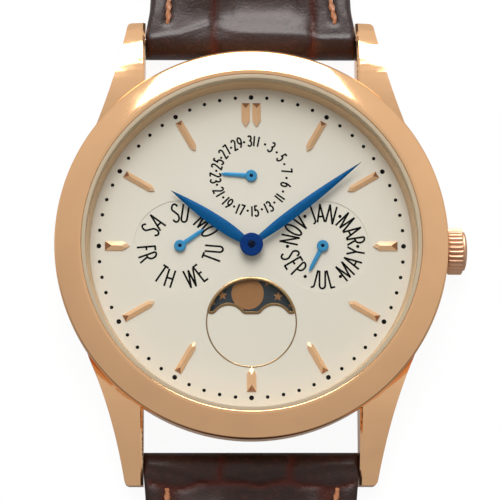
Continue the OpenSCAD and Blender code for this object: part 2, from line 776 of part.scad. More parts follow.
module third_wheel()
    train_wheel(third_at, third_level, third_turn, third_pinion_teeth, centre_level);

module intermediate_wheel() train_wheel(intermediate_at, intermediate_level,
    intermediate_turn, intermediate_pinion_teeth, third_level);

// Rotor: a magnet on a pinion, turning in the stator's eye
module rotor() {
    color("#6a6e74") {
        translate([rotor_at[0], rotor_at[1], intermediate_level])
            wheel(rotor_pinion_teeth, train_module, wheel_t + 0.1, rotor_turn);
        arbor(rotor_at, intermediate_level + wheel_t + 0.2, plate_z - 0.15, magnet_r);
        arbor(rotor_at, bridge_z + 0.05, plate_z + 0.3, pivot_r);
    }
}

// Motion work
minute_wheel_turn = mesh_turn(minute_wheel_dir, cannon_teeth, 0, minute_teeth);
hour_wheel_turn =
    mesh_turn(minute_wheel_dir + 180, minute_pinion_teeth, minute_wheel_turn, hour_teeth);

module cannon_pinion() {
    color(steel) difference() {
        union() {
            arbor([0, 0], motion_low_z, minute_hand_z + hand_t + 0.05, cannon_r);
            translate([0, 0, motion_low_z]) wheel(cannon_teeth, motion_module, motion_wheel_t);
        }
        translate([0, 0, motion_low_z - 1]) cylinder(r = arbor_r + seat_fit, h = 9);
    }
}

module minute_wheel() {
    color(brass) {
        translate([minute_wheel_at[0], minute_wheel_at[1], motion_low_z]) {
            wheel(minute_teeth, motion_module, motion_wheel_t, minute_wheel_turn);
            wheel(minute_pinion_teeth, motion_module,
                motion_high_z + motion_wheel_t - motion_low_z, minute_wheel_turn);
        }
        arbor(minute_wheel_at, plate_z + 0.35, motion_low_z + 0.1, pivot_r);
    }
}

module hour_wheel() {
    color(brass) difference() {
        union() {
            translate([0, 0, motion_high_z])
                wheel(hour_teeth, motion_module, motion_wheel_t, hour_wheel_turn);
            arbor([0, 0], motion_high_z, hour_hand_z + hand_t + 0.02, hour_pipe_r);
        }
        translate([0, 0, motion_high_z - 1]) cylinder(r = cannon_r + run_fit, h = 9);
    }
}

// Leaf-shaped hand: narrow at the hub, widest at a third of its length, pointed at the tip
function leaf_w(t) = t < 0.36 ? 0.42 + 0.58 * sin(90 * t / 0.36)
    : pow(cos(90 * (t - 0.36) / 0.64), 0.9);

module leaf_hand(l, w, hub, bore, steps = 18) {
    side = [for (i = [0:steps]) [w / 2 * leaf_w(i / steps), l * i / steps]];
    difference() {
        linear_extrude(height = hand_t) {
            polygon(concat(side, [for (i = [steps - 1:-1:0]) [-side[i][0], side[i][1]]]));
            circle(r = hub);
        }
        translate([0, 0, -1]) cylinder(r = bore + seat_fit, h = 3);
    }
}

module hour_hand() {
    color(blue) translate([0, 0, hour_hand_z]) rotate([0, 0, -hour_angle])
        leaf_hand(hour_hand_l, hour_hand_w, hub_r, hour_pipe_r);
}

module minute_hand() {
    color(blue) translate([0, 0, minute_hand_z]) rotate([0, 0, -minute_angle])
        leaf_hand(minute_hand_l, minute_hand_w, hub_r, cannon_r);
}

// Small hand with a plain arm, a pointed tip and a boss on its arbor
module small_hand(l, angle) {
    w = small_hand_w;
    color("#4696c3") rotate([0, 0, -angle]) difference() {
        union() {
            linear_extrude(height = 0.1)
                polygon([[-w / 2, 0], [-w / 2, l - 2 * w], [0, l], [w / 2, l - 2 * w], [w / 2, 0]]);
            cylinder(r = small_hub_r, h = 0.12);
            translate([0, 0, -0.12]) cylinder(r = 0.28, h = 0.36);
        }
        translate([0, 0, -1]) cylinder(r = small_arbor_r + seat_fit, h = 3);
    }
}

module date_hand()
    translate([0, subdial_offset, small_hand_z]) small_hand(date_hand_l, date_angle);
module day_hand()
    translate([-subdial_offset, 0, small_hand_z]) small_hand(small_hand_l, day_angle);
module month_hand()
    translate([subdial_offset, 0, small_hand_z]) small_hand(small_hand_l, month_angle);

// Star wheel of a calendar hand, with its arbor
module calendar_wheel(at, teeth, r, depth) {
    color(brass) translate([at[0], at[1], calendar_z]) {
        linear_extrude(height = wheel_t) polygon([for (i = [0:teeth - 1], k = [0, 0.55, 0.75])
            (k == 0.75 ? r : r - depth) * [cos((i + k) * 360 / teeth), sin((i + k) * 360 / teeth)]]);
        translate([0, 0, -0.35]) cylinder(r = small_arbor_r, h = small_hand_z - calendar_z + 0.5);
        cylinder(r = 0.5, h = 0.35);
    }
}

module date_wheel() calendar_wheel([0, subdial_offset], 31, 2.6, 0.3);
module day_wheel() calendar_wheel([-subdial_offset, 0], 7, 2.2, 0.8);
module month_wheel() calendar_wheel([subdial_offset, 0], 12, 2.2, 0.5);

// Moon disc with 59 teeth, one for each day of two lunar months
module moon_disc() {
    teeth = 59;
    color("#14283a") translate([0, -moon_offset, moon_floor_z + run_fit]) {
        linear_extrude(height = moon_disc_t) polygon([for (i = [0:teeth - 1], k = [0, 0.5])
            (moon_r - 0.4 * k) * [cos((i + k) * 360 / teeth), sin((i + k) * 360 / teeth)]]);
        translate([0, 0, -0.38]) cylinder(r = small_arbor_r, h = 0.5);
    }
}

// Stem: square at its inner end, where the sliding pinion rides on it
module stem() {
    color(steel) {
        translate([square_x, 0, stem_z]) rotate([0, 90, 0])
            cylinder(r = stem_r, h = square_end_x - square_x, $fn = 4);
        translate([square_end_x - 0.2, 0, stem_z]) rotate([0, 90, 0])
            cylinder(r = stem_r, h = case_r + 1.5 - square_end_x);
        translate([stem_shoulder_x, 0, stem_z]) rotate([0, 90, 0])
            cylinder(r = 1.5 * stem_r, h = 0.5);
    }
}

module sliding_pinion() {
    color(steel) translate([pinion_x, 0, stem_z]) rotate([0, 90, 0]) difference() {
        union() {
            cylinder(r = 0.6, h = pinion_l);
            wheel(10, 0.15, 0.4);
            translate([0, 0, pinion_l - 0.4]) wheel(10, 0.15, 0.4);
        }
        translate([0, 0, -1]) cylinder(r = stem_r + run_fit, h = pinion_l + 2, $fn = 4);
    }
}

// Fluted crown with a domed cap, hollow over the tube
module crown() {
    r = crown_d / 2;
    rise = crown_cap_h - crown_cap_edge;
    dome = (pow(r - 0.4, 2) + pow(rise, 2)) / (2 * rise);
    color(rose_gold) translate([case_r + 0.3, 0, stem_z]) rotate([0, 90, 0]) difference() {
        union() {
            difference() {
                rotate_extrude() polygon([[0, 0], [r - 0.15, 0], [r, 0.15], [r, crown_l - 0.12],
                    [r - 0.12, crown_l], [0, crown_l]]);
                for (i = [0:crown_flutes - 1]) rotate([0, 0, 360 * i / crown_flutes])
                    translate([r + 0.05, 0, -0.1]) cylinder(r = 0.15, h = crown_l - 0.1, $fn = 24);
            }
            intersection() {
                translate([0, 0, crown_l - 0.1]) cylinder(r = r - 0.4, h = crown_cap_h + 0.1);
                translate([0, 0, crown_l + crown_cap_h - dome]) sphere(r = dome);
            }
        }
        translate([0, 0, -1]) cylinder(r = 1.45, h = 1.85);
        cylinder(r = stem_r + seat_fit, h = 1.1);
    }
}

module crown_gasket() {
    color("#2a2a2c") tube_x(case_r + 0.5, case_r + 0.9, 1.45 - seat_fit, 1.1 + 0.03);
}

// Strap. A section is [y, half width, underside, edge height, middle height]
function strap_pad(s) = s < dip_l ? blend(2 * strap_end_r, strap_dip_t, s / dip_l)
    : s < dip_l + pad_rise_l ? blend(strap_dip_t, strap_pad_t, (s - dip_l) / pad_rise_l)
    : blend(strap_pad_t, strap_flat_t, (s - dip_l - pad_rise_l) / pad_fall_l);
function strap_edge(s) = blend(2 * strap_end_r, min(strap_flat_t, 2.3), s / 5.5);

// Ring of points round a section, its top crowned
function strap_ring(s, steps = 5) = concat(
    [[-s[1], s[0], s[2]], [s[1], s[0], s[2]]],
    [for (i = [-steps:steps]) let (u = -i / steps)
        [s[1] * u, s[0], s[2] + s[3] + (s[4] - s[3]) * (1 - pow(abs(u), 2.5))]]);

// Solid through a list of rings
module through_rings(rings) {
    n = len(rings[0]);
    last = len(rings) - 1;
    polyhedron(points = [for (r = rings) each r], faces = concat(
        [for (k = [1:n - 2]) [0, k, k + 1]],
        [for (i = [0:last - 1], k = [0:n - 1], t = [0, 1]) let (a = i * n + k,
            b = i * n + (k + 1) % n)
            t == 0 ? [a, a + n, b + n] : [a, b + n, b]],
        [for (k = [1:n - 2]) [last * n, last * n + k + 1, last * n + k]]), convexity = 4);
}

// Half width of the strap at a distance y from the watch's centre
function strap_half(y) = (y < bar_y + strap_neck_l
    ? blend(strap_w, strap_neck_w, (y - bar_y) / strap_neck_l)
    : strap_neck_w + (strap_end_w - strap_neck_w)
        * min(1, (y - bar_y - strap_neck_l) / (taper_y - bar_y - strap_neck_l))) / 2;

// Rounded end at the spring bar
strap_nose = [for (a = [25, 45, 65, 80]) [bar_y - strap_end_r * cos(a), strap_w / 2,
    bar_z - strap_end_r * sin(a), 2 * strap_end_r * sin(a), 2 * strap_end_r * sin(a)]];

lining_y = bar_y + dip_l;

function strap_section(y, z, cut) =
    let (s = y - bar_y)
    [y, strap_half(y), z + cut, strap_edge(s) - cut, strap_pad(s) - cut];

// Underside of the half with the buckle: it rises to leave room for the keepers
function lift_12(y) = blend(bar_z - strap_end_r, strap_lift, (y - lining_y) / 18);
function lift_6(y) = bar_z - strap_end_r - (bar_z - strap_end_r) * min(1, (y - bar_y) / 12);

strap_near = [for (d = [0, 0.9, 1.8, 2.98]) bar_y + d];
strap_far = concat([lining_y], [for (d = [3, 5.5, 8, 12, 16, 22, 29]) tip_y + d], [taper_y]);
lining_end_y = buckle_y - 4.2;
strap_12_far = concat(strap_far, [lining_end_y]);
strap_6_far = concat(strap_far, [strap_tip_y - strap_point_l]);

// Rounded end at the buckle bar
strap_loop = [for (a = [75, 60, 40, 20]) [buckle_y + strap_loop_r * cos(a), strap_end_w / 2,
    buckle_z - strap_loop_r * sin(a), 2 * strap_loop_r * sin(a), 2 * strap_loop_r * sin(a)]];

// Rounded point of the long half: [distance from the tip, share of the width]
strap_point = [for (a = [15:15:75]) [strap_point_l * (1 - sin(a)), pow(cos(a), 0.8)]];

module strap_12() {
    color(leather) difference() {
        through_rings([for (s = concat(strap_nose,
            [for (y = strap_near) strap_section(y, lift_12(y), 0)],
            [for (y = strap_12_far) strap_section(y, lift_12(y), lining_t)],
            [for (y = [lining_end_y + 0.02, buckle_y]) strap_section(y, lift_12(y), 0)],
            strap_loop)) strap_ring(s)]);
        translate([0, bar_y, bar_z]) rotate([0, 90, 0])
            cylinder(r = bar_r + run_fit, h = strap_w + 2, center = true);
        translate([0, buckle_y, buckle_z]) rotate([0, 90, 0])
            cylinder(r = bar_r + run_fit, h = strap_w + 2, center = true);
        translate([-tongue_slot_w / 2, buckle_y - 3.6, 0]) cube([tongue_slot_w, 8, 8]);
    }
}

module lining_sheet(ys, lift, tip) {
    hw = [for (y = ys) strap_half(y)];
    through_rings(concat(
        [for (i = [0:len(ys) - 1]) let (z = lift(ys[i])) flat_ring(ys[i], hw[i] - 0.3, z)],
        [for (p = tip) flat_ring(strap_tip_y - 0.3 - p[0], (strap_end_w / 2 - 0.3) * p[1], 0)]));
}

function flat_ring(y, x, z) = [[-x, y, z], [x, y, z], [x, y, z + lining_t], [-x, y, z + lining_t]];

module strap_12_lining() {
    color("#8a6a50") lining_sheet(strap_12_far, function (y) lift_12(y), []);
}

module hole_row() {
    for (i = [0:strap_holes - 1])
        translate([0, -(strap_tip_y - 24 - i * strap_hole_pitch), -1])
            cylinder(r = strap_hole_d / 2, h = 8);
}

module strap_6() {
    color(leather) difference() {
        mirror([0, 1, 0]) through_rings([for (s = concat(strap_nose,
            [for (y = strap_near) strap_section(y, lift_6(y), 0)],
            [for (y = strap_6_far) strap_section(y, lift_6(y), lining_t)],
            [for (p = strap_point) [strap_tip_y - p[0], strap_end_w / 2 * p[1], lining_t,
                strap_edge(99) - lining_t - 0.2, strap_flat_t - lining_t - 0.2]]))
                    strap_ring(s)]);
        translate([0, -bar_y, bar_z]) rotate([0, 90, 0])
            cylinder(r = bar_r + run_fit, h = strap_w + 2, center = true);
        hole_row();
    }
}

module strap_6_lining() {
    color("#8a6a50") difference() {
        mirror([0, 1, 0])
            lining_sheet(strap_6_far, function (y) lift_6(y), strap_point);
        hole_row();
    }
}

// Leather loop round the strap, open in front for the tip of the other half
module keeper(y) {
    in_w = strap_end_w + 2 * keeper_air;
    in_z = strap_lift - 0.02;
    in_h = 2 * strap_flat_t + 2 * keeper_air;
    color(leather) translate([0, y + keeper_l / 2, 0]) rotate([90, 0, 0])
        linear_extrude(height = keeper_l) difference() {
            rounded_box(in_w + 2 * keeper_t, in_z - keeper_t, in_z + in_h + keeper_t, 1.4);
            rounded_box(in_w, in_z, in_z + in_h, 0.6);
        }
}

module rounded_box(w, z0, z1, r) {
    translate([-w / 2 + r, z0]) square([w - 2 * r, z1 - z0]);
    translate([-w / 2, z0 + r]) square([w, z1 - z0 - 2 * r]);
    for (x = [-w / 2 + r, w / 2 - r], z = [z0 + r, z1 - r]) translate([x, z]) circle(r = r);
}

module fixed_keeper() keeper(fixed_keeper_y);
module free_keeper() keeper(free_keeper_y);

// Buckle frame: a U with a wide cross bar, curved to the wrist
module buckle_frame() {
    out_x = buckle_in_x + buckle_side_w;
    color(rose_gold) translate([0, buckle_y, buckle_z]) difference() {
        intersection() {
            translate([0, 0, -buckle_t - 2]) linear_extrude(height = 2 * buckle_t + 4)
                difference() {
                    rounded_box(2 * out_x, -1.6, buckle_l, 1.5);
                    rounded_box(2 * buckle_in_x, -4, buckle_l - buckle_bar_w, 1);
                }
            translate([0, 0, -buckle_curve_r]) rotate([0, 90, 0]) difference() {
                cylinder(r = buckle_curve_r + buckle_t / 2, h = 3 * out_x, center = true,
                    $fn = 360);
                cylinder(r = buckle_curve_r - buckle_t / 2, h = 4 * out_x, center = true,
                    $fn = 360);
            }
        }
        rotate([0, 90, 0]) cylinder(r = 0.42, h = 2 * buckle_in_x + 1.8, center = true);
        translate([-tongue_w / 2 - 0.25, 4, buckle_t / 2 - 1]) cube([tongue_w + 0.5, 9, 3]);
    }
}

module buckle_bar() {
    color(steel) translate([0, buckle_y, buckle_z]) rotate([0, 90, 0]) {
        cylinder(r = bar_r, h = 2 * buckle_in_x - 0.2, center = true);
        cylinder(r = 0.4, h = 2 * buckle_in_x + 1.6, center = true);
    }
}

// Tongue: a ring on the bar and an arm that rests in the cross bar's notch
module buckle_tongue() {
    l = buckle_l - 0.3;
    color(rose_gold) translate([-tongue_w / 2, buckle_y, buckle_z])
        rotate([90, 0, 90]) linear_extrude(height = tongue_w) difference() {
            union() {
                circle(r = tongue_ring_r);
                polygon([[0, 0.5], [4, 0.75], [l - 2, 0.5], [l - 0.2, 0.35], [l, 0.6],
                    [l - 2, 1.2], [4, 1.55], [0, tongue_ring_r]]);
            }
            circle(r = bar_r + run_fit);
        }
}

case_middle();
bezel();
crystal();
crystal_gasket();
inner_flange();
dial_plate();
hour_markers();
moon_frame();
movement_holder();
main_plate();
train_bridge();
bridge_screws();
circuit_board();
quartz_resonator();
coil_core();
coil_winding();
stator();
battery();
battery_clamp();
case_back();
back_gasket();
crown_tube();
spring_bar_12();
spring_bar_6();
centre_wheel();
cannon_pinion();
minute_hand();
hour_wheel();
hour_hand();
minute_wheel();
third_wheel();
intermediate_wheel();
rotor();
date_wheel();
date_hand();
day_wheel();
day_hand();
month_wheel();
month_hand();
moon_disc();
sliding_pinion();
stem();
crown();
crown_gasket();
bar_pin_12_left();
bar_pin_12_right();
bar_pin_6_left();
bar_pin_6_right();
strap_12();
strap_12_lining();
fixed_keeper();
free_keeper();
buckle_frame();
buckle_bar();
buckle_tongue();
strap_6();
strap_6_lining();
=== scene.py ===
# %% [markdown]
# # A calendar watch with a moon window
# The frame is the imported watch, made of 57 solids that lie flat with the strap open. Blender
# adds what the solids leave out: polished gold, printed figures, blue hands and embossed
# leather. New pieces are surfaces worked out with numpy, as whole arrays of points.

# %% Load the frame
import math

import bmesh
import bpy
import numpy as np
from mathutils import Matrix, Vector


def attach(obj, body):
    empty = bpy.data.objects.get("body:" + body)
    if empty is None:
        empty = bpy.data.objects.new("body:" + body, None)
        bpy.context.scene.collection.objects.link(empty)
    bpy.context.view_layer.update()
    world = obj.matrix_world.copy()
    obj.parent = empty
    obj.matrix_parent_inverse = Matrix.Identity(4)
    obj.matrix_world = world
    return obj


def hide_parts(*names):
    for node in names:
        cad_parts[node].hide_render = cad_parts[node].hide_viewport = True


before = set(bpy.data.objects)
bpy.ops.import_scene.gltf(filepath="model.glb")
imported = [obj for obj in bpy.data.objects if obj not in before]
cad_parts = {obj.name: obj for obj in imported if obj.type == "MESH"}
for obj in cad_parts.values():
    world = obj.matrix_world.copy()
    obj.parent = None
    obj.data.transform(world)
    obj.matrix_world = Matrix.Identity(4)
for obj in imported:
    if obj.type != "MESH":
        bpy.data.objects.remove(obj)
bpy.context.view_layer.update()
scene = bpy.context.scene
scene.view_settings.view_transform = "Standard"
MM = 0.001  # points are worked out in millimetres and stored in metres

# %% [markdown]
# ## The camera
# A dial seen at an angle shows its dots on an ellipse. Fitting the sixty dots gives the place of
# the camera: a quarter of a metre away, ten degrees towards 6 o'clock. The camera's own axes are
# built by hand from that, and a small roll and shift put the dial where the photograph has it.

# %% Camera
DIAL_TOP = 5.4  # height of the dial's face
PHOTO_SIDE = 500  # in pixels
DISTANCE, LENS, SENSOR = 0.25, 185.3, 36  # in metres, then in millimetres
target = Vector((0, 0, DIAL_TOP * MM))
tilt, yaw, roll = math.radians(9.72), math.radians(-0.99), math.radians(-0.10)
away = Vector((math.sin(yaw), -math.sin(tilt) * math.cos(yaw), math.cos(tilt) * math.cos(yaw)))
right = Vector((0, 1, 0)).cross(away).normalized()
turn = Matrix((right, away.cross(right), away)).transposed() @ Matrix.Rotation(roll, 3, "Z")
camera = bpy.data.objects.new("camera", bpy.data.cameras.new("camera"))
scene.collection.objects.link(camera)
camera.matrix_world = Matrix.Translation(target + DISTANCE * away) @ turn.to_4x4()
camera.data.lens, camera.data.sensor_width = LENS, SENSOR
camera.data.shift_x, camera.data.shift_y = -1.34 / PHOTO_SIDE, -3.83 / PHOTO_SIDE
camera.data.clip_start, camera.data.clip_end = 0.01, 20
scene.camera = camera
print("camera at", [round(v, 4) for v in camera.location])

# %% [markdown]
# ## Shader maths as Python
# A finish is a tree of nodes. Written out one by one they hide the idea, so a small class wraps a
# socket and overloads the operators: `0.2 + 0.1 * grain` then adds its own Math nodes.


# %% Node helpers
GENERATED, NORMAL, OBJECT = 0, 1, 3  # outputs of the Texture Coordinate node
CAMERA_RAY, MATTE_RAY, GLOSSY_RAY, THROUGH_RAY = 0, 2, 3, 6  # outputs of the Light Path node


class Value:
    """A socket in a node tree. A sum or product on it adds a Math node."""

    def __init__(self, tree, socket):
        self.tree, self.socket = tree, socket

    def __add__(self, other):
        return self.tree.math("ADD", self, other)

    def __sub__(self, other):
        return self.tree.math("SUBTRACT", self, other)

    def __rsub__(self, other):
        return self.tree.math("SUBTRACT", other, self)

    def __mul__(self, other):
        return self.tree.math("MULTIPLY", self, other)

    def __pow__(self, other):
        return self.tree.math("POWER", self, other)

    __radd__, __rmul__ = __add__, __mul__


class Tree:
    """A node tree. node() adds any node: first its settings, then its sockets."""

    def __init__(self, owner):
        owner.use_nodes = True
        self.nodes, self.links = owner.node_tree.nodes, owner.node_tree.links
        self.nodes.clear()

    def node(self, kind, settings=None, sockets=None, out=0):
        made = self.nodes.new("ShaderNode" + kind)
        for name, value in (settings or {}).items():
            setattr(made, name, value)
        for name, value in (sockets or {}).items():
            if isinstance(value, Value):
                self.links.new(value.socket, made.inputs[name])
            else:
                made.inputs[name].default_value = value
        return Value(self, made.outputs[out]) if made.outputs else None

    def math(self, operation, *values):
        return self.node("Math", {"operation": operation}, dict(enumerate(values)))

    def step(self, value, low, high):
        """0 below low, 1 above high, and a smooth rise between."""
        return self.node("MapRange", {"interpolation_type": "SMOOTHSTEP"},
                         {"Value": value, "From Min": low, "From Max": high})

    def mix(self, factor, first, second):
        """A colour that goes from the first to the second."""
        return self.node("Mix", {"data_type": "RGBA"}, {0: factor, 6: first, 7: second}, 2)

    def place(self):
        """The place of a point in its piece, in metres."""
        return self.node("TexCoord", out=OBJECT)

    def axis(self, number, where=None):
        """One coordinate of a place: 0 is x, 1 is y."""
        return self.node("SeparateXYZ", sockets={0: where or self.place()}, out=number)

    def noise(self, scale, detail=2.0, where=None, stretch=None):
        """Noise whose grain is 1 / scale metres across, drawn out by the three stretch factors."""
        where = where or self.place()
        if stretch:
            where = self.node("Mapping", sockets={"Vector": where, "Scale": stretch})
        return self.node("TexNoise", sockets={"Vector": where, "Scale": scale, "Detail": detail})

    def rings(self, radius, scale, detail):
        """Turned grooves: noise along one line, read at the distance from a centre."""
        return self.noise(scale, detail, self.node("CombineXYZ", sockets={0: radius}))

    def bump(self, height, strength, depth):
        """A normal that leans with the slope of the height; depth is in metres."""
        return self.node("Bump", sockets={"Height": height, "Strength": strength,
                                          "Distance": depth})


print("node helpers ready")

# %% [markdown]
# ## Colours and finishes
# A picture stores colours bent for the eye, while a shader adds up light, so values read off the
# photograph are first made linear. Every finish is the Principled shader, with its sockets
# filled by one function: that keeps the whole recipe of a material in one place. Most finishes
# here need only two noises, one for patches of colour and one for the grain, so they share one.


# %% Colours and finishes
def ink(red, green, blue):
    """Linear colour from the 0 to 255 values of a picture: ((v + 0.055) / 1.055) to the power
    2.4, and v / 12.92 near black."""
    share = np.array([red, green, blue]) / 255
    linear = np.where(share <= 0.04045, share / 12.92, ((share + 0.055) / 1.055) ** 2.4)
    return (*(float(v) for v in linear), 1.0)


def dimmed(colour, share):
    """The colour times a share."""
    return tuple(share * v for v in colour[:3]) + (1.0,)


def finish(name, make):
    """A material: make(tree) gives the values of the Principled shader's sockets."""
    material = bpy.data.materials.new(name)
    tree = Tree(material)
    surface = tree.node("BsdfPrincipled", sockets=make(tree))
    tree.node("OutputMaterial", sockets={"Surface": surface})
    return material


def grained(name, first, second, patches, grain, rough, spread, bump, depth, metallic=0.0,
            specular=0.5):
    """A finish with two noises, each given as (scale, detail). The patches mix two close colours.
    The grain g makes the roughness rough + spread * g and a bump, its depth in millimetres."""

    def make(tree):
        g = tree.noise(*grain)
        return {"Base Color": tree.mix(tree.noise(*patches), first, second),
                "Roughness": rough + spread * g, "Metallic": metallic,
                "Specular IOR Level": specular, "Normal": tree.bump(g, bump, depth * MM)}

    return finish(name, make)


print("finish helpers ready")

# %% [markdown]
# ## The floor
# The watch was photographed on white and cut out. A white floor would turn grey at its far side
# and hide a strap that hangs below it. This one is a thin veil to the camera: it takes a faint
# shadow and lets the white behind it through. In the metal it is a lamp that grows stronger
# towards 12 o'clock, and to matte pieces it is plain white card.

# %% Floor
floor_mesh = bpy.data.meshes.new("floor")
floor_mesh.from_pydata([(-2, -2, 0), (2, -2, 0), (2, 2, 0), (-2, 2, 0)], [], [(0, 1, 2, 3)])
floor = bpy.data.objects.new("floor", floor_mesh)
floor.location.z = -0.02 * MM  # just under the strap
scene.collection.objects.link(floor)
floor_paint = bpy.data.materials.new("floor_paint")
tree = Tree(floor_paint)
seen = tree.node("LightPath", out=CAMERA_RAY)
mirrored = tree.math("MAXIMUM", tree.node("LightPath", out=GLOSSY_RAY),
                     tree.node("LightPath", out=THROUGH_RAY))
in_metal = 0.20 + 0.50 * tree.step(tree.axis(1), -0.03, 0.01)
matte = tree.node("BsdfDiffuse", sockets={"Color": (0.9, 0.9, 0.9, 1)})
lit = tree.node("Emission", sockets={"Color": (1, 1, 1, 1), "Strength": in_metal})
clear = tree.node("BsdfTransparent", sockets={"Color": (1, 1, 1, 1)})
mixed = tree.node("MixShader", sockets={0: mirrored, 1: matte, 2: lit})
veil = tree.node("MixShader", sockets={0: seen * 0.92, 1: mixed, 2: clear})
tree.node("OutputMaterial", sockets={"Surface": veil})
floor_mesh.materials.append(floor_paint)
print("floor ready")

# %% [markdown]
# ## Sky and lamps
# Polished metal shows only its surroundings, so they are designed: a soft white panel stands
# behind 12 o'clock and gives the broad white bow on the bezel, and the sky is bright on that
# side and greyer in front, which leaves the lower bezel an even tan. A picture of a studio could
# do the same, but a formula needs no file. The second lamp is seen only by matte surfaces: it
# lights the dial and leaves no reflection.

# %% Sky and lamps
world = bpy.data.worlds.new("sky")
scene.world = world
tree = Tree(world)
direction = tree.node("TexCoord", out=GENERATED)
sky = 0.54 + 0.30 * tree.step(tree.axis(1, direction) + 0.25 * tree.axis(0, direction), -0.6, 1.0)
seen = tree.node("LightPath", out=CAMERA_RAY)
on_matte = tree.node("LightPath", out=MATTE_RAY)
strength = sky * (1 - 0.45 * on_matte) * (1 - seen) + seen * 1.02
tint = tree.mix(seen, (1.0, 0.985, 0.965, 1), (1, 1, 1, 1))
back = tree.node("Background", sockets={"Color": tint, "Strength": strength})
tree.node("OutputWorld", sockets={"Surface": back})


def panel(name, radiance, width, height, azimuth, elevation, distance, mirrored):
    """A soft panel that faces the dial, seen only in gloss or only by matte surfaces. Azimuth 0
    is behind 12 o'clock, 90 is at 3 o'clock. Its power is radiance * pi * area."""
    lamp = bpy.data.objects.new(name, bpy.data.lights.new(name, "AREA"))
    lamp.data.shape, lamp.data.size, lamp.data.size_y = "RECTANGLE", width, height
    lamp.data.energy = radiance * math.pi * width * height
    a, e = math.radians(azimuth), math.radians(elevation)
    out = Vector((math.sin(a) * math.cos(e), math.cos(a) * math.cos(e), math.sin(e)))
    lamp.location = target + distance * out
    lamp.rotation_mode = "QUATERNION"
    lamp.rotation_quaternion = out.to_track_quat("Z", "Y")
    lamp.visible_glossy, lamp.visible_diffuse = mirrored, not mirrored
    scene.collection.objects.link(lamp)


panel("back_panel", radiance=13.0, width=0.44, height=0.35, azimuth=-1, elevation=34,
      distance=0.6, mirrored=True)
panel("high_lamp", radiance=7.6, width=0.5, height=0.5, azimuth=-8, elevation=64,
      distance=1.0, mirrored=False)
print("sky and lamps ready")

# %% [markdown]
# ## Surfaces from arrays
# Every new piece is one of three kinds: a profile turned about an axis, a section carried along a
# path, or a grid whose points are a formula of two numbers. Each part is closed, and its volume
# tells whether the faces point out: a negative one turns them all over.


# %% Grids, turned and carried shapes
def grid_faces(rows, cols, wrap_rows=False, wrap_cols=False):
    """Quads of a grid of points, row after row; a wrapped side joins its end to its start."""
    i = np.arange(rows if wrap_rows else rows - 1)[:, None]
    j = np.arange(cols if wrap_cols else cols - 1)[None, :]
    low, high, next_j = i * cols, (i + 1) % rows * cols, (j + 1) % cols
    return np.stack(np.broadcast_arrays(low + j, low + next_j, high + next_j, high + j),
                    -1).reshape(-1, 4).tolist()


def end_caps(rows, cols):
    """The two flat faces that close a tube made of rows of so many points."""
    return [tuple(range(cols))[::-1], tuple(range((rows - 1) * cols, rows * cols))]


def outward(points, faces):
    """The part with its faces pointing out. The sum of a . (b x c) over its triangles is six
    times its volume; where that is negative, all faces turn over."""
    points = np.asarray(points, float).reshape(-1, 3)
    fans = np.array([(f[0], f[k], f[k + 1]) for f in faces for k in range(1, len(f) - 1)])
    a, b, c = points[fans[:, 0]], points[fans[:, 1]], points[fans[:, 2]]
    inside_out = np.einsum("ij,ij->i", a, np.cross(b, c)).sum() < 0
    return points, [f[::-1] for f in faces] if inside_out else faces


def turned(profile, steps=192, centre=(0, 0)):
    """Profile of (radius, height) turned about the upright line through the centre:
    x = r cos t, y = r sin t. A profile that starts and ends on the axis gets a point at each
    pole; any other is a closed loop."""
    profile = np.asarray(profile, float)
    poles = profile[0, 0] == 0
    rows = profile[1:-1] if poles else profile
    t = np.linspace(0, 2 * np.pi, steps, endpoint=False)
    x = centre[0] + rows[:, :1] * np.cos(t)
    y = centre[1] + rows[:, :1] * np.sin(t)
    points = np.stack([x, y, np.repeat(rows[:, 1:], steps, 1)], -1).reshape(-1, 3)
    faces = grid_faces(len(rows), steps, wrap_rows=not poles, wrap_cols=True)
    if poles:
        ends = [(centre[0], centre[1], profile[0, 1]), (centre[0], centre[1], profile[-1, 1])]
        points = np.concatenate([points, ends])
        top, last = len(points) - 2, (len(rows) - 1) * steps
        faces += [(top, (k + 1) % steps, k) for k in range(steps)]
        faces += [(top + 1, last + k, last + (k + 1) % steps) for k in range(steps)]
    return outward(points, faces)


def swept(path, section, closed=False, up=(0, 0, 1)):
    """Section of (side, height) carried along a path. The side direction is square to the way
    and to up, and the height direction to both of them: a point is path + side s + height r.
    Ends are flat caps."""
    path, section = np.asarray(path, float), np.asarray(section, float)
    way = np.roll(path, -1, 0) - np.roll(path, 1, 0) if closed else np.gradient(path, axis=0)
    side = np.cross(way, up)
    side /= np.linalg.norm(side, axis=1)[:, None]
    rise = np.cross(side, way)
    rise /= np.linalg.norm(rise, axis=1)[:, None]
    points = (path[:, None] + side[:, None] * section[None, :, :1]
              + rise[:, None] * section[None, :, 1:]).reshape(-1, 3)
    n, m = len(path), len(section)
    faces = grid_faces(n, m, wrap_rows=closed, wrap_cols=True)
    if not closed:
        faces += end_caps(n, m)
    return outward(points, faces)


print("turned and carried shapes ready")

# %% [markdown]
# ## Outlines
# A machined edge is never quite sharp, and its small rounding is what catches the light. A bevel
# modifier rounds every edge alike; here the corners of a section are rounded before it is turned
# or carried, each with its own radius.


# %% Outlines
def rounded(corners, radius, steps=5):
    """Closed outline with its corners rounded: from a point before each corner to one after it
    runs the curve (1-t)^2 A + 2t(1-t) C + t^2 B."""
    corners = np.asarray(corners, float)
    radius = np.broadcast_to(radius, len(corners))
    t = np.linspace(0, 1, steps)[:, None]
    line = []
    for i, corner in enumerate(corners):
        back_way, on_way = corners[i - 1] - corner, corners[(i + 1) % len(corners)] - corner
        a = corner + back_way / np.linalg.norm(back_way) * radius[i]
        b = corner + on_way / np.linalg.norm(on_way) * radius[i]
        line.append((1 - t) ** 2 * a + 2 * t * (1 - t) * corner + t * t * b)
    return np.concatenate(line)


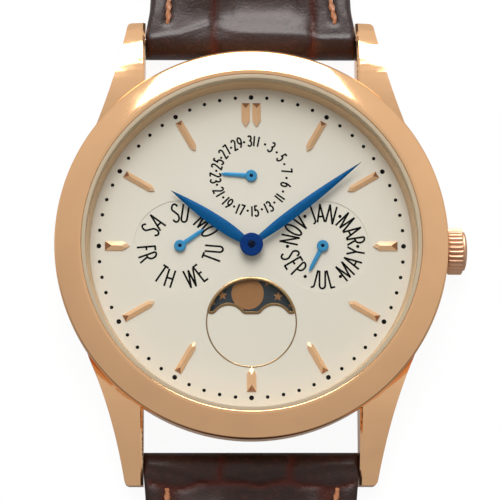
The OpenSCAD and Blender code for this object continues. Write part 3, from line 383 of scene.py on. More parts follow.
def corner(before, at, after, radius, steps):
    """The rounded corner that an outline has at one point, between two others."""
    return rounded([before, at, after], radius, steps)[steps:2 * steps]


def circle(centre, radius, start=0.0, end=360.0, steps=64):
    """Points of an arc, anticlockwise from start to end, in degrees from +X."""
    t = np.radians(np.linspace(start, end, steps))
    return np.stack([centre[0] + radius * np.cos(t), centre[1] + radius * np.sin(t)], -1)


def lift(line, z):
    """A flat line of points at height z."""
    return np.column_stack([line, np.full(len(line), float(z))])


def join(*parts):
    """Several closed parts as one."""
    points, faces, start = [], [], 0
    for part_points, part_faces in parts:
        points.append(part_points)
        faces += [tuple(start + k for k in f) for f in part_faces]
        start += len(part_points)
    return np.concatenate(points), faces


print("outline helpers ready")

# %% [markdown]
# ## From arrays to pieces
# A mesh becomes a piece when it says which body carries it, which finish it belongs to and which
# CAD solids it stands for. Solids that already have the right shape are not built again: they are
# merged and get a fine bevel, or only a better finish.

# %% Pieces
SURFACE_SHARP, SOLID_SHARP, BEVEL_FROM = 38, 25, 30  # angles in degrees between faces


def piece(name, part, body, material, stands_for=(), flat=False):
    """The part as an object at the origin that rides on a body."""
    points, faces = part
    mesh = bpy.data.meshes.new(name)
    mesh.from_pydata((np.asarray(points) * MM).tolist(), [], faces)
    mesh.materials.append(material)
    mesh.polygons.foreach_set("use_smooth", np.full(len(mesh.polygons), not flat))
    if not flat:
        mesh.set_sharp_from_angle(angle=math.radians(SURFACE_SHARP))
    made = bpy.data.objects.new(name, mesh)
    scene.collection.objects.link(made)
    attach(made, body)
    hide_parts(*stands_for)
    return made


def dressed(node, material, body, width=0.05, segments=2, reshape=None):
    """A merged copy of a CAD node whose sharp edges get a small bevel. It stands for the node."""
    shell = bmesh.new()
    shell.from_mesh(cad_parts[node].data)
    bmesh.ops.remove_doubles(shell, verts=shell.verts, dist=0.002 * MM)
    bmesh.ops.dissolve_limit(shell, angle_limit=math.radians(0.3), verts=shell.verts,
                             edges=shell.edges)
    mesh = bpy.data.meshes.new(node + "_dressed")
    if reshape:
        reshape(shell, mesh)
    else:
        shell.to_mesh(mesh)
    shell.free()
    mesh.materials.append(material)
    mesh.polygons.foreach_set("use_smooth", np.ones(len(mesh.polygons), bool))
    mesh.set_sharp_from_angle(angle=math.radians(SOLID_SHARP))
    made = bpy.data.objects.new(node + "_dressed", mesh)
    scene.collection.objects.link(made)
    bevel = made.modifiers.new("edges", "BEVEL")
    bevel.width, bevel.segments = width * MM, segments
    bevel.limit_method, bevel.angle_limit = "ANGLE", math.radians(BEVEL_FROM)
    bevel.harden_normals = True
    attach(made, body)
    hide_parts(node)
    return made


def wear(material, *nodes):
    """CAD nodes whose shape is right get a better material and stay."""
    for node in nodes:
        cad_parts[node].data.materials.clear()
        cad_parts[node].data.materials.append(material)


print("mesh helpers ready")

# %% [markdown]
# ## Metals
# Polished gold plating is a mirror with a colour, so its detail is small: hairlines from wear
# that widen the highlight here and there, and a trace of waviness. Steel and brass inside are
# brushed or matte. One function makes them all, from a colour, a roughness and a grain.


# %% Metal finishes
def metal(name, colour, rough, grain=9000.0, stretch=(1, 1, 1), wave=0.0, depth=0.002):
    """Metal with a fine grain, drawn out along an axis for a brushed look. The roughness is
    rough (0.7 + 0.6 grain), and up to wave more in broad patches."""

    def make(tree):
        fine = tree.noise(grain, 3.0, stretch=stretch)
        broad = tree.noise(240.0, 2.0)
        tone = tree.mix(tree.step(broad, 0.35, 0.7) * 0.5, colour, dimmed(colour, 0.93))
        rough_here = rough * 0.7 + fine * (rough * 0.6) + tree.step(broad, 0.45, 0.75) * wave
        return {"Base Color": tone, "Metallic": 1.0, "Roughness": rough_here,
                "Specular Tint": tuple(v ** 0.5 for v in colour[:3]) + (1.0,),
                "Normal": tree.bump(fine, 0.25, depth * MM)}

    return finish(name, make)


ROSE = (0.94, 0.56, 0.30, 1.0)
rose_gold = metal("polished_rose_gold", ROSE, 0.09, 5200.0, stretch=(1, 1, 3), wave=0.05,
                  depth=0.0006)
matte_gold = metal("matte_rose_gold", (0.62, 0.375, 0.245, 1), 0.46, 7000.0)
window_gold = metal("window_gold", ink(150, 122, 86), 0.30, 6000.0)
steel = metal("brushed_steel", ink(176, 178, 181), 0.30, 2600.0, stretch=(1, 14, 1), wave=0.06)
blued = metal("blued_steel", ink(74, 90, 112), 0.25, 6000.0)
brass = metal("fine_matte_brass", ink(201, 168, 90), 0.36, 8000.0, wave=0.08)


def circular_steel(tree):
    """Steel turned on a lathe: grooves are noise on the distance from the middle."""
    x, y = tree.axis(0), tree.axis(1)
    rings = tree.rings((x * x + y * y) ** 0.5, 9000.0, 2.0)
    return {"Base Color": tree.mix(rings, ink(150, 152, 156), ink(196, 197, 200)),
            "Metallic": 1.0, "Roughness": 0.24 + 0.14 * rings,
            "Normal": tree.bump(rings, 0.3, 0.003 * MM)}


turned_steel = finish("turned_steel", circular_steel)
print("metals ready")

# %% [markdown]
# ## Bezel
# The bezel is a polished ring pressed onto the case, a low dome with an upright rim. A bevelled
# cylinder would have one radius all over, while the dome, the rim and the two small edges each
# have their own. So one profile holds them all and is turned.

# %% Bezel
CASE_R, BORE_R, SEAT_Z, BEZEL_TOP, DOME_R, RIM_TOP = 19.0, 16.4, 5.65, 8.8, 9.0, 7.95


def arc_between(a, b, radius, steps):
    """Points of the arc from a to b that bulges to the right of the way. Its hub stands off the
    middle of the way by the root of radius^2 - (length / 2)^2."""
    a, b = np.array(a, float), np.array(b, float)
    middle, way = (a + b) / 2, b - a
    length = np.hypot(*way)
    hub = middle + math.sqrt(radius**2 - length**2 / 4) * np.array([-way[1], way[0]]) / length
    angles = np.arctan2(*(np.array([a, b]) - hub).T[::-1])
    t = np.linspace(angles[0], angles[1], steps)
    return hub + radius * np.stack([np.cos(t), np.sin(t)], -1)


dome_end = (BORE_R + 0.3, BEZEL_TOP)
dome = arc_between((CASE_R, RIM_TOP), dome_end, DOME_R, 30)
bezel_line = np.concatenate([
    corner((CASE_R - 1, SEAT_Z), (CASE_R, SEAT_Z), (CASE_R, RIM_TOP), 0.10, 6),
    corner((CASE_R, SEAT_Z), (CASE_R, RIM_TOP), dome[8], 0.38, 9),
    dome[9:-1],
    corner(dome[-3], dome_end, (BORE_R, BEZEL_TOP), 0.06, 4),
    corner(dome_end, (BORE_R, BEZEL_TOP), (BORE_R, SEAT_Z), 0.06, 4),
    [(BORE_R, SEAT_Z)],
])
piece("bezel_ring", turned(bezel_line, 360), "case", rose_gold, ["bezel"])
print("bezel profile points:", len(bezel_line))

# %% [markdown]
# ## Case and lugs
# The case middle and its four lugs are one piece of metal. The CAD solid has its shape but for
# the lug tops, which lean outwards on the real watch. Modelling it again would lose the fit to
# the movement, so the solid's own points move: cuts give the tops enough of them, and a formula
# sets their heights. A small bevel lets every edge catch light.

# %% Case and lugs
LUG_X, LUG_TOP_Y, LUG_TOP_Z, LUG_TOP_R = 10.45, 14, 5.5, 12
LUG_SLOPES = (0.06, 0.253, 0.552, 0.85)  # at the ends of the three stretches


def lean_lugs(shell, mesh):
    """Lug tops of the case: cuts across and along them give the points, then every height is
    the integral of a slope that grows in three straight stretches. The first two end earlier at
    the outer edge, which makes the top lean outwards."""
    cuts = [(0, side * x) for side in (-1, 1) for x in np.arange(LUG_X + 0.3, 16.6, 0.45)]
    cuts += [(1, side * y) for side in (-1, 1) for y in np.arange(15.1, 22.9, 0.3)]
    for axis, place in cuts:
        faces = [f for f in shell.faces if abs(f.calc_center_median().y) > 9.5 * MM
                 and abs(f.calc_center_median().x) > 10.3 * MM
                 and f.calc_center_median()[axis] * place > 0]
        parts = set(faces).union(*(f.edges for f in faces), *(f.verts for f in faces))
        normal = [0, 0, 0]
        normal[axis] = 1
        bmesh.ops.bisect_plane(shell, geom=list(parts), dist=1e-7, plane_no=normal,
                               plane_co=[place * MM * n for n in normal])
    shell.to_mesh(mesh)
    points = np.empty(len(mesh.vertices) * 3)
    mesh.vertices.foreach_get("co", points)
    x, y, z = np.abs(points.reshape(-1, 3).T) / MM
    from_axis = np.hypot(y - LUG_TOP_Y, z + LUG_TOP_R - LUG_TOP_Z)
    on_top = (np.abs(from_axis - LUG_TOP_R + 0.14) < 0.16) & (x > LUG_X - 0.05)
    on_top &= (y > LUG_TOP_Y) & (z > 0.6)
    out = x - LUG_X
    ends = [15.0 + 0 * out, 20.1 - 0.565 * out, 20.6 - 0.09 * out, 23.0 + 0 * out]
    fallen = np.zeros(len(out))
    for a, b, slope_a, slope_b in zip(ends, ends[1:], LUG_SLOPES, LUG_SLOPES[1:]):
        u = np.clip((y - a) / (b - a), 0, 1)
        fallen = fallen + (b - a) * (slope_a * u + (slope_b - slope_a) * u * u / 2)
    height = LUG_TOP_Z - fallen - (LUG_TOP_R - from_axis)
    points[2::3] = np.where(on_top, height * MM, points[2::3])
    mesh.vertices.foreach_set("co", points)
    print("lug points moved:", int(on_top.sum()))


dressed("case_middle", rose_gold, "case", width=0.10, segments=3, reshape=lean_lugs)

# %% [markdown]
# ## Crown
# Thirty flutes round the crown give the fingers a hold, and its plating is matte. An array of
# cutters would leave sharp ends that need work by hand. Here the crown is turned, and a power of
# a cosine pushes its side in, with less push near both ends, where the flutes run out.

# %% Crown
CROWN_X, STEM_Z, FLUTES, FLUTE_DEPTH, AROUND = 19.3, 2.45, 30, 0.17, 480
# The profile is a list of (radius, distance from the case).
crown_line = np.array([
    (0.45, 0.0), (1.42, 0.0), (1.45, 0.03), (1.47, 0.03), (1.50, 0.0), (2.1, 0.0), (2.24, 0.04),
    (2.3, 0.14), (2.3, 0.4), (2.3, 0.8), (2.3, 1.2), (2.3, 1.3), (2.24, 1.4), (2.12, 1.45),
    (1.98, 1.45), (1.90, 1.46), (1.90, 1.60), (1.87, 1.67), (1.80, 1.72), (1.5, 1.81), (1.1, 1.88),
    (0.6, 1.94), (0.0, 1.95)])
flute = np.interp(crown_line[:, 1], [0.0, 0.14, 1.28, 1.42], [0.3, 1, 1, 0.0])
flute = flute * (crown_line[:, 0] > 2.0)
side = crown_line[:-1]
t = np.linspace(0, 2 * np.pi, AROUND, endpoint=False)
radius = side[:, :1] - FLUTE_DEPTH * flute[:-1, None] * (0.5 + 0.5 * np.cos(FLUTES * t)) ** 1.6
points = np.stack([CROWN_X + np.repeat(side[:, 1:], AROUND, 1), radius * np.cos(t),
                   STEM_Z + radius * np.sin(t)], -1).reshape(-1, 3)
points = np.concatenate([points, [(CROWN_X + crown_line[-1, 1], 0, STEM_Z)]])
last = (len(side) - 1) * AROUND
faces = grid_faces(len(side), AROUND, wrap_cols=True)
faces += [(last + k, last + (k + 1) % AROUND, last + AROUND) for k in range(AROUND)]
faces += [tuple(range(AROUND))[::-1]]
piece("crown_fluted", outward(points, faces), "crown", matte_gold, ["crown"])
print("crown faces:", len(faces))

# %% [markdown]
# ## Crystal and its ring
# Flat mineral glass reflects a few percent and lets the rest through, so its shader mixes a clear
# and a mirror layer by Fresnel: light then reaches the dial, which a solid glass shader would
# darken. The pale ring round it is the nylon gasket and the bright slope inside is the flange.

# %% Crystal, gasket and flange
crystal_glass = bpy.data.materials.new("crystal_glass")
tree = Tree(crystal_glass)
fresnel = tree.node("Fresnel", sockets={"IOR": 1.5})
clear = tree.node("BsdfTransparent", sockets={"Color": (0.985, 0.987, 0.985, 1)})
mirror = tree.node("BsdfGlossy", sockets={"Color": (1, 1, 1, 1), "Roughness": 0.01})
both = tree.node("MixShader", sockets={0: fresnel * 0.08, 1: clear, 2: mirror})
tree.node("OutputMaterial", sockets={"Surface": both})

CRYSTAL_Z, CRYSTAL_TOP, CRYSTAL_R = 7.4, 9.0, 15.95
crystal_line = [(0, CRYSTAL_Z), (CRYSTAL_R - 0.06, CRYSTAL_Z), (CRYSTAL_R, CRYSTAL_Z + 0.06),
                (CRYSTAL_R, CRYSTAL_TOP - 0.30), (CRYSTAL_R - 0.30, CRYSTAL_TOP), (0, CRYSTAL_TOP)]
piece("crystal_flat", turned(crystal_line, 256), "case", crystal_glass, ["crystal"])


def plastic(name, colour, rough, grain=5000.0):
    """Moulded plastic or rubber: a colour that varies a little and a fine skin."""
    return grained(name, colour, dimmed(colour, 0.88), (300.0, 2.0), (grain, 3.0), rough * 0.85,
                   rough * 0.3, bump=0.3, depth=0.004)


gasket_nylon = plastic("gasket_nylon", ink(202, 183, 153), 0.35)
GASKET_IN, GASKET_OUT, GASKET_TOP, FLANGE_FOOT, FLANGE_HEAD = 15.97, 16.38, 8.75, 15.65, 15.85
gasket_line = rounded([(GASKET_IN, CRYSTAL_Z), (GASKET_OUT, CRYSTAL_Z), (GASKET_OUT, GASKET_TOP),
                       (GASKET_IN, GASKET_TOP)], 0.06, 4)
piece("gasket_ring", turned(gasket_line, 256), "case", gasket_nylon,
      ["crystal_gasket"])
flange_line = rounded([(FLANGE_FOOT, DIAL_TOP), (GASKET_OUT, DIAL_TOP), (GASKET_OUT, CRYSTAL_Z),
                       (FLANGE_HEAD, CRYSTAL_Z), (FLANGE_HEAD, CRYSTAL_Z - 0.2)], 0.03, 3)
# Pale gold lacquer, half matte
flange_gold = grained("flange_gold", ink(232, 196, 150), ink(218, 180, 134), (6000.0, 3.0),
                      (6000.0, 3.0), 0.30, 0.1, bump=0.15, depth=0.001, metallic=0.25)
piece("flange_ring", turned(flange_line, 256), "case", flange_gold, ["inner_flange"])
print("crystal ready")

# %% [markdown]
# ## Dial
# The dial is a brass disc in cream silver, with a very fine sand, and its two sunk dials are
# turned, with rings too fine to count. A painted picture would blur when the camera comes close,
# so both grains are noise: one in space, the other on the distance from a sunk dial's centre.

# %% Dial
SUNK_X, SUNK_R = 6.93, 4.5


def dial_paint(tree):
    """Cream silver. In the sunk dials the grain becomes rings about their own centres."""
    grain = tree.noise(11000.0, 3.0)
    cloudy = tree.noise(70.0, 2.0)
    x, y = tree.axis(0), tree.axis(1)
    aside = tree.math("ABSOLUTE", x) - SUNK_X * MM
    radius = (aside * aside + y * y) ** 0.5
    rings = tree.rings(radius, 7000.0, 1.0)
    sunk = 1 - tree.step(radius, (SUNK_R - 0.06) * MM, SUNK_R * MM)
    height = grain * (1 - sunk) + rings * sunk
    tone = tree.mix(cloudy, ink(232, 226, 212), ink(222, 217, 203))
    return {"Base Color": tone, "Metallic": 0.15, "Roughness": 0.42 + 0.1 * grain,
            "Normal": tree.bump(height, 0.22, 0.003 * MM)}


wear(finish("cream_dial", dial_paint), "dial_plate")
print("dial ready")

# %% [markdown]
# ## Figures as pen strokes
# Dial figures are pad printed, with lines of one even width. A text object needs a font, and a
# font's figures aren't these narrow ones. So each glyph is drawn as a few pen strokes in a box
# one unit high: straight lines and parts of ellipses.


# %% Glyphs
def bow(cx, cy, rx, ry, start, end, steps=9):
    """Arc of an ellipse, x = cx + rx cos t and y = cy + ry sin t, in degrees from +X."""
    t = np.radians(np.linspace(start, end, steps))
    return np.stack([cx + rx * np.cos(t), cy + ry * np.sin(t)], -1)


def strokes(*lines):
    """The pen's lines as arrays of points."""
    return [np.array(line, float) for line in lines]


def line_of(*parts):
    """Points and arcs as one pen stroke."""
    return np.concatenate(parts)


bowl = line_of([(0, 1)], bow(0.09, 0.74, 0.20, 0.26, 90, -90), [(0, 0.48)])
# Each glyph: its width, then its strokes; the box is one unit high.
GLYPHS = {
    "1": (0.06, strokes([(0.03, 0), (0.03, 1)])),
    "2": (0.34, strokes(line_of(bow(0.17, 0.78, 0.16, 0.22, 165, -30), [(0.0, 0), (0.34, 0)]))),
    "3": (0.34, strokes(line_of(bow(0.15, 0.77, 0.16, 0.23, 150, -75),
                                bow(0.15, 0.27, 0.19, 0.27, 80, -150)))),
    "5": (0.34, strokes(line_of([(0.31, 1), (0.08, 1), (0.05, 0.56)],
                                bow(0.15, 0.31, 0.19, 0.31, 110, -150)))),
    "7": (0.34, strokes([(0, 1), (0.34, 1), (0.1, 0)])),
    "9": (0.36, strokes(bow(0.18, 0.70, 0.17, 0.30, 0, 360, 17),
                        [(0.35, 0.70), (0.32, 0.42), (0.12, 0)])),
    "A": (0.40, strokes([(0, 0), (0.2, 1), (0.4, 0)], [(0.07, 0.32), (0.33, 0.32)])),
    "E": (0.26, strokes([(0.26, 1), (0, 1), (0, 0), (0.26, 0)], [(0, 0.52), (0.21, 0.52)])),
    "F": (0.235, strokes([(0.235, 1), (0, 1), (0, 0)], [(0, 0.52), (0.19, 0.52)])),
    "H": (0.34, strokes([(0, 0), (0, 1)], [(0.34, 0), (0.34, 1)], [(0, 0.5), (0.34, 0.5)])),
    "J": (0.18, strokes(line_of([(0.18, 1)], bow(0.04, 0.15, 0.14, 0.15, 0, -100)))),
    "L": (0.23, strokes([(0, 1), (0, 0), (0.23, 0)])),
    "M": (0.53, strokes([(0, 0), (0.05, 1), (0.265, 0.08), (0.48, 1), (0.53, 0)])),
    "N": (0.39, strokes([(0, 0), (0, 1), (0.39, 0), (0.39, 1)])),
    "O": (0.37, strokes(bow(0.185, 0.5, 0.185, 0.5, 90, 450, 25))),
    "P": (0.29, strokes([(0, 0), (0, 1)], bowl)),
    "R": (0.315, strokes([(0, 0), (0, 1)], bowl, [(0.12, 0.48), (0.315, 0)])),
    "S": (0.34, strokes(line_of(bow(0.17, 0.77, 0.16, 0.23, 20, 200),
                                bow(0.17, 0.24, 0.17, 0.24, 40, -160)))),
    "T": (0.34, strokes([(0, 1), (0.34, 1)], [(0.17, 1), (0.17, 0)])),
    "U": (0.315, strokes(line_of([(0, 1)], bow(0.1575, 0.18, 0.1575, 0.18, 180, 360),
                                 [(0.315, 1)]))),
    "V": (0.40, strokes([(0, 1), (0.2, 0), (0.4, 1)])),
    "W": (0.56, strokes([(0, 1), (0.14, 0), (0.28, 0.92), (0.42, 0), (0.56, 1)])),
    "Y": (0.395, strokes([(0, 1), (0.1975, 0.48), (0.395, 1)], [(0.1975, 0.48), (0.1975, 0)])),
}
print("glyphs:", len(GLYPHS))

# %% [markdown]
# ## From strokes to ink
# A coat of ink is a few hundredths of a millimetre thick. A texture would need a very large
# picture to be as sharp, while a thin ribbon along each stroke stays sharp at any distance. The
# letters of a word stand one by one on a circle round their dial's centre.


# %% Ribbons and words
def ribbon(line, width, z, thick=0.012):
    """A pen stroke: left and right edges of a line as a thin closed strip. Each edge stands half
    the width off, divided by the cosine of half the bend. A line that turns sharply is split
    there, and both parts reach a little past the corner."""
    line = np.asarray(line, float)
    step = np.diff(line, axis=0)
    step /= np.linalg.norm(step, axis=1)[:, None]
    sharp = np.flatnonzero((step[1:] * step[:-1]).sum(1) < 0.3)
    if len(sharp):
        k = sharp[0] + 1
        first = np.vstack([line[:k], line[k] + 0.3 * width * step[k - 1]])
        rest = np.vstack([line[k] - 0.3 * width * step[k], line[k + 1:]])
        return join(ribbon(first, width, z, thick), ribbon(rest, width, z, thick))
    before, after = np.vstack([step[:1], step]), np.vstack([step, step[-1:]])
    way = before + after
    way /= np.maximum(np.linalg.norm(way, axis=1), 1e-6)[:, None]
    stretch = 1 / np.clip((way * before).sum(1), 0.55, 1)
    edge = np.stack([-way[:, 1], way[:, 0]], -1) * (stretch * width / 2)[:, None]
    left, right_side = line + edge, line - edge
    points = np.stack([lift(left, z), lift(right_side, z), lift(right_side, z + thick),
                       lift(left, z + thick)], 1).reshape(-1, 3)
    n = len(line)
    faces = grid_faces(n, 4, wrap_cols=True) + end_caps(n, 4)
    return outward(points, faces)


def dot(centre, radius, z, thick=0.012, steps=24):
    """A printed dot: a low disc turned about its centre."""
    return turned([(0, z), (radius, z), (radius, z + thick), (0, z + thick)], steps, centre)


def word(text, centre, angle, radius, height, pen, z, flipped, gap):
    """Letters of a word, one by one along a circle. The angle runs clockwise from 12 o'clock, and
    a letter adds its distance from the middle of the word over the radius. Its points stand at
    radius * out + u * across + v * out. A flipped word has its feet outward."""
    widths = [GLYPHS[c][0] for c in text]
    start, parts = -(sum(widths) + gap * (len(text) - 1)) / 2, []
    way = -1 if flipped else 1
    for letter, width in zip(text, widths):
        a = math.radians(angle) + way * (start + width / 2) * height / radius
        out, across = np.array([math.sin(a), math.cos(a)]), np.array([math.cos(a), -math.sin(a)])
        for line in GLYPHS[letter][1]:
            u, v = (line[:, :1] - width / 2) * height, (line[:, 1:] - 0.5) * height
            place = np.array(centre) + radius * out + way * (u * across + v * out)
            parts.append(ribbon(place, pen, z))
        start += width + gap
    return parts


print("ink helpers ready")

# %% [markdown]
# ## Print the dial
# Sixty minute dots, the odd dates, seven days and every second month. The words on the lower
# part of a dial are turned over, so that no name stands on its head. Each could be placed by
# hand, but a loop over equal angles puts them as evenly as the printer's plate does.

# %% Print the dial
SUNK_Z, TRACK_R = DIAL_TOP - 0.08, 14.8


def on_circle(centre, radius, angle):
    """The point at an angle from 12 o'clock, clockwise: x = cx + r sin a, y = cy + r cos a."""
    a = math.radians(angle)
    return centre[0] + radius * math.sin(a), centre[1] + radius * math.cos(a)


# Nearly black, with a slight gloss and a soft surface
black_ink = grained("black_ink", ink(10, 9, 8), ink(20, 17, 14), (9000.0, 2.0), (9000.0, 2.0),
                    0.5, 0.1, bump=0.2, depth=0.002, specular=0.05)
dots = [dot(on_circle((0, 0), TRACK_R, 6 * k), 0.235 if k % 5 == 0 else 0.175, DIAL_TOP)
        for k in range(60)]
piece("minute_dots", join(*dots), "case", black_ink)
date_at, day_at, month_at = (0, SUNK_X), (-SUNK_X, 0), (SUNK_X, 0)
figures = []
for n in range(1, 32, 2):
    figures += word(str(n), date_at, 360 / 31 * n, radius=3.5, height=1.02, pen=0.17, z=DIAL_TOP,
                    flipped=9 <= n <= 23, gap=0.22)
figures += [dot(on_circle(date_at, 3.45, 360 / 31 * n), 0.12, DIAL_TOP) for n in range(2, 31, 2)]
piece("date_figures", join(*figures), "case", black_ink)
days = []
for k, name in enumerate(["SU", "MO", "TU", "WE", "TH", "FR", "SA"]):
    days += word(name, day_at, 360 / 7 * k, radius=3.30, height=1.78, pen=0.19, z=SUNK_Z,
                 flipped=2 <= k <= 5, gap=0.205)
piece("day_names", join(*days), "case", black_ink)
months = []
for k, name in enumerate(["JAN", "MAR", "MAY", "JUL", "SEP", "NOV"]):
    months += word(name, month_at, 60 * k, radius=3.27, height=1.76, pen=0.19, z=SUNK_Z,
                   flipped=2 <= k <= 4, gap=0.205)
months += [dot(on_circle(month_at, 3.42, 30 + 60 * k), 0.165, SUNK_Z) for k in range(6)]
piece("month_names", join(*months), "case", black_ink)
print("print parts:", len(dots), len(figures), len(days), len(months))

# %% [markdown]
# ## Hour markers
# The markers are cut bars of rose gold with a sloping roof. Their facets are already in the CAD
# solids and only need their polish. In the photograph the outer end of each marker mirrors the
# dark side of the room; a mirror alone can't show a room that isn't there, so the shader finds
# that facet by its lean and makes it brown.


# %% Markers
def facet_gold(tree):
    """Rose gold of the facets. The outer end of each marker slopes away from the centre: there the
    normal leans along the radius, and the facet gets a darker brown, a painted reflection of a
    dark room."""
    fine = tree.noise(6000.0, 3.0)
    radial = tree.node("VectorMath", {"operation": "NORMALIZE"}, {0: tree.place()})
    lean = tree.node("VectorMath", {"operation": "DOT_PRODUCT"},
                     {0: tree.node("TexCoord", out=NORMAL), 1: radial}, 1)
    gold = tree.mix(fine, ink(240, 198, 154), ink(230, 186, 144))
    # the brown on the outer end facet is a painted reflection, not the gold's own colour
    return {"Base Color": tree.mix(tree.step(lean, 0.40, 0.55), gold, ink(150, 104, 72)),
            "Metallic": 0.25, "Roughness": 0.30 + 0.1 * fine,
            "Normal": tree.bump(fine, 0.15, 0.001 * MM)}


wear(finish("facet_gold", facet_gold), "hour_markers")
print("markers ready")

# %% [markdown]
# ## Moon window
# The window's frame is a small half-round bar along the window's edge, with a fine ring that
# closes the circle below. A bevelled curve object would do; a section carried along an array of
# points keeps the size of the bar in plain numbers. Smoothing the line of points seven times
# rounds its corners.

# %% Moon window
MOON_Y, WINDOW_R, HUMP_R, HUMP_X, EDGE_Y = -7.46, 4.2, 1.77, 2.2, 1.03
edge_angle = math.degrees(math.asin(EDGE_Y / WINDOW_R))
hump_angle = math.degrees(math.asin((EDGE_Y - 0.1) / HUMP_R))
outline = np.concatenate([
    circle((0, 0), WINDOW_R, edge_angle, 180 - edge_angle, 150),
    circle((-HUMP_X, 0.1), HUMP_R, 180 - hump_angle, hump_angle, 60),
    circle((HUMP_X, 0.1), HUMP_R, 180 - hump_angle, hump_angle, 60)])


def even(line, spacing):
    """The closed line with its points the same distance apart."""
    line = np.vstack([line, line[:1]])
    gone = np.concatenate([[0], np.cumsum(np.linalg.norm(np.diff(line, axis=0), axis=1))])
    at = np.linspace(0, gone[-1], int(gone[-1] / spacing), endpoint=False)
    return np.stack([np.interp(at, gone, line[:, k]) for k in range(2)], -1)


outline = even(outline, 0.05)
for _ in range(7):
    outline = (np.roll(outline, 1, 0) + outline + np.roll(outline, -1, 0)) / 3
frame_section = [(-0.02, -0.10), (-0.02, 0.09), (0.03, 0.13), (0.17, 0.13), (0.24, 0.08),
                 (0.24, 0.0)]
frame_path = lift(outline + (0, MOON_Y), DIAL_TOP)
ring_arc = circle((0, MOON_Y), WINDOW_R + 0.14, 180 - edge_angle, 360 + edge_angle, 120)
ring_section = [(-0.065, 0), (-0.065, 0.03), (-0.03, 0.05), (0.03, 0.05), (0.065, 0.03),
                (0.065, 0)]
window = join(swept(frame_path, frame_section, closed=True),
              swept(lift(ring_arc, DIAL_TOP), ring_section))
piece("window_frame", window, "case", window_gold, ["moon_frame"])
print("window points:", len(outline))

# %% [markdown]
# ## Moon disc
# The disc under the window turns once in two months and carries two moons and copper stars on a
# night sky. Only one moon shows, and the others are there for the months to come. The print is
# built from thin discs and stars for the same reason as the figures: it stays sharp.

# %% Moon disc
# Printed night sky, a dark teal with a trace of mottling
night_sky = grained("night_sky", ink(7, 23, 31), ink(17, 36, 44), (900.0, 4.0), (900.0, 4.0),
                    0.35, 0.1, bump=0.1, depth=0.002)
wear(night_sky, "moon_disc")
DISC_TOP = 4.85


def star(centre, radius, z, turned_by=0.0):
    """A five-point star: ten points at steps of 36 degrees, every second one at 0.42 of the
    radius."""
    t = np.radians(90 + turned_by + 36 * np.arange(10))
    r = radius * np.where(np.arange(10) % 2 == 0, 1.0, 0.42)
    flat = np.stack([centre[0] + r * np.cos(t), centre[1] + r * np.sin(t)], -1)
    points = np.concatenate([lift(flat, z), lift(flat, z + 0.01)])
    return outward(points, grid_faces(2, 10, wrap_cols=True) + end_caps(2, 10))


printed = []
sky_stars = [(-2.80, 2.70, 0.50, 4), (2.59, 2.60, 0.50, -8), (-1.98, 3.86, 0.26, 10),
             (1.52, 3.83, 0.27, 0), (-3.70, 1.96, 0.28, 20), (3.82, 1.74, 0.28, 12)]
for half in (1, -1):
    printed.append(dot((-0.36 * half, MOON_Y + 2.89 * half), 1.57, DISC_TOP, 0.01, 64))
    printed += [star((x * half, MOON_Y + y * half), r, DISC_TOP, a) for x, y, r, a in sky_stars]
# Metallic copper ink, brighter in patches
copper = grained("copper_print", ink(162, 114, 67), ink(138, 94, 52), (2500.0, 3.0),
                 (2500.0, 3.0), 0.38, 0.12, bump=0.2, depth=0.002, metallic=0.2)
piece("moon_and_stars", join(*printed), "moon_disc", copper, flat=True)
print("printed parts of the disc:", len(printed))

# %% [markdown]
# ## Hands
# The main hands are leaves of blued steel. Their width follows a sine up to a third of the
# length and a cosine to the tip, and the top is crowned across, so that a soft light runs along
# it. Sculpting such a blade evenly is hard, and two short formulas do it. The small hands are a
# lighter blue, with a round boss and a tapered arm.


# %% Hands
def leaf(length, width, base, thick, share, steps=60, cols=11):
    """A crowned blade along +Y: half width = width / 2 * share(t), and its height falls from
    thick to the edge's 0.05 mm as the square of the distance from the middle line."""
    t, v, edge = np.linspace(0, 1, steps), np.linspace(-1, 1, cols), 0.05
    half = np.maximum(width / 2 * share(t), 0.012)
    rise = base + edge + (thick - edge) * (1 - v**2)
    top = np.stack([half[:, None] * v, np.repeat(length * t[:, None], cols, 1),
                    np.broadcast_to(rise, (steps, cols))], -1)
    under = top[:, [-1, 0]] * [1, 1, 0] + [0, 0, base]
    points = np.concatenate([top, under], 1)
    ring = cols + 2
    faces = grid_faces(steps, ring, wrap_cols=True) + end_caps(steps, ring)
    return outward(points.reshape(-1, 3), faces)


def pointed(part, centre, angle):
    """The part turned clockwise from 12 o'clock and set on its centre: x becomes
    x cos a + y sin a, and y becomes y cos a - x sin a."""
    points, faces = part
    a = math.radians(angle)
    spun = points @ np.array([[math.cos(a), -math.sin(a), 0], [math.sin(a), math.cos(a), 0],
                              [0, 0, 1]])
    return spun + [centre[0], centre[1], 0], faces


def leaf_share(t):
    """Width of a leaf hand as a share of its greatest width: 0.42 + 0.58 times a sine up to
    0.36 of its length, then a cosine to the power 0.9."""
    rise = 0.42 + 0.58 * np.sin(np.pi / 2 * np.minimum(t / 0.36, 1))
    fall = np.cos(np.pi / 2 * np.clip((t - 0.36) / 0.64, 0, 1)) ** 0.9
    return np.where(t < 0.36, rise, fall)


def arm_share(t):
    """Width of a small hand's arm: the taper 1 - 0.28 t, times the root of (1 - t) / 0.16 in
    the last stretch, which rounds the point."""
    return (1 - 0.28 * t) * np.sqrt(np.clip((1 - t) / 0.16, 0, 1)).clip(0, 1)


print("blade helpers ready")

# %% [markdown]
# ## Blue on the hands
# Blued steel gets its colour from heat; here it looks like lacquer, even and hardly shiny. A
# metal shader would turn black wherever the sky is dark, so a matte blue is used, and the noise
# that mixes two close blues keeps it from looking flat.


# %% Blue hands
def lacquer(name, deep, bright):
    """Blue lacquer over steel; it is lighter where it lies thin."""
    return grained(name, deep, bright, (500.0, 2.0), (8000.0, 2.0), 0.34, 0.1, bump=0.15,
                   depth=0.002, metallic=0.1, specular=0.05)


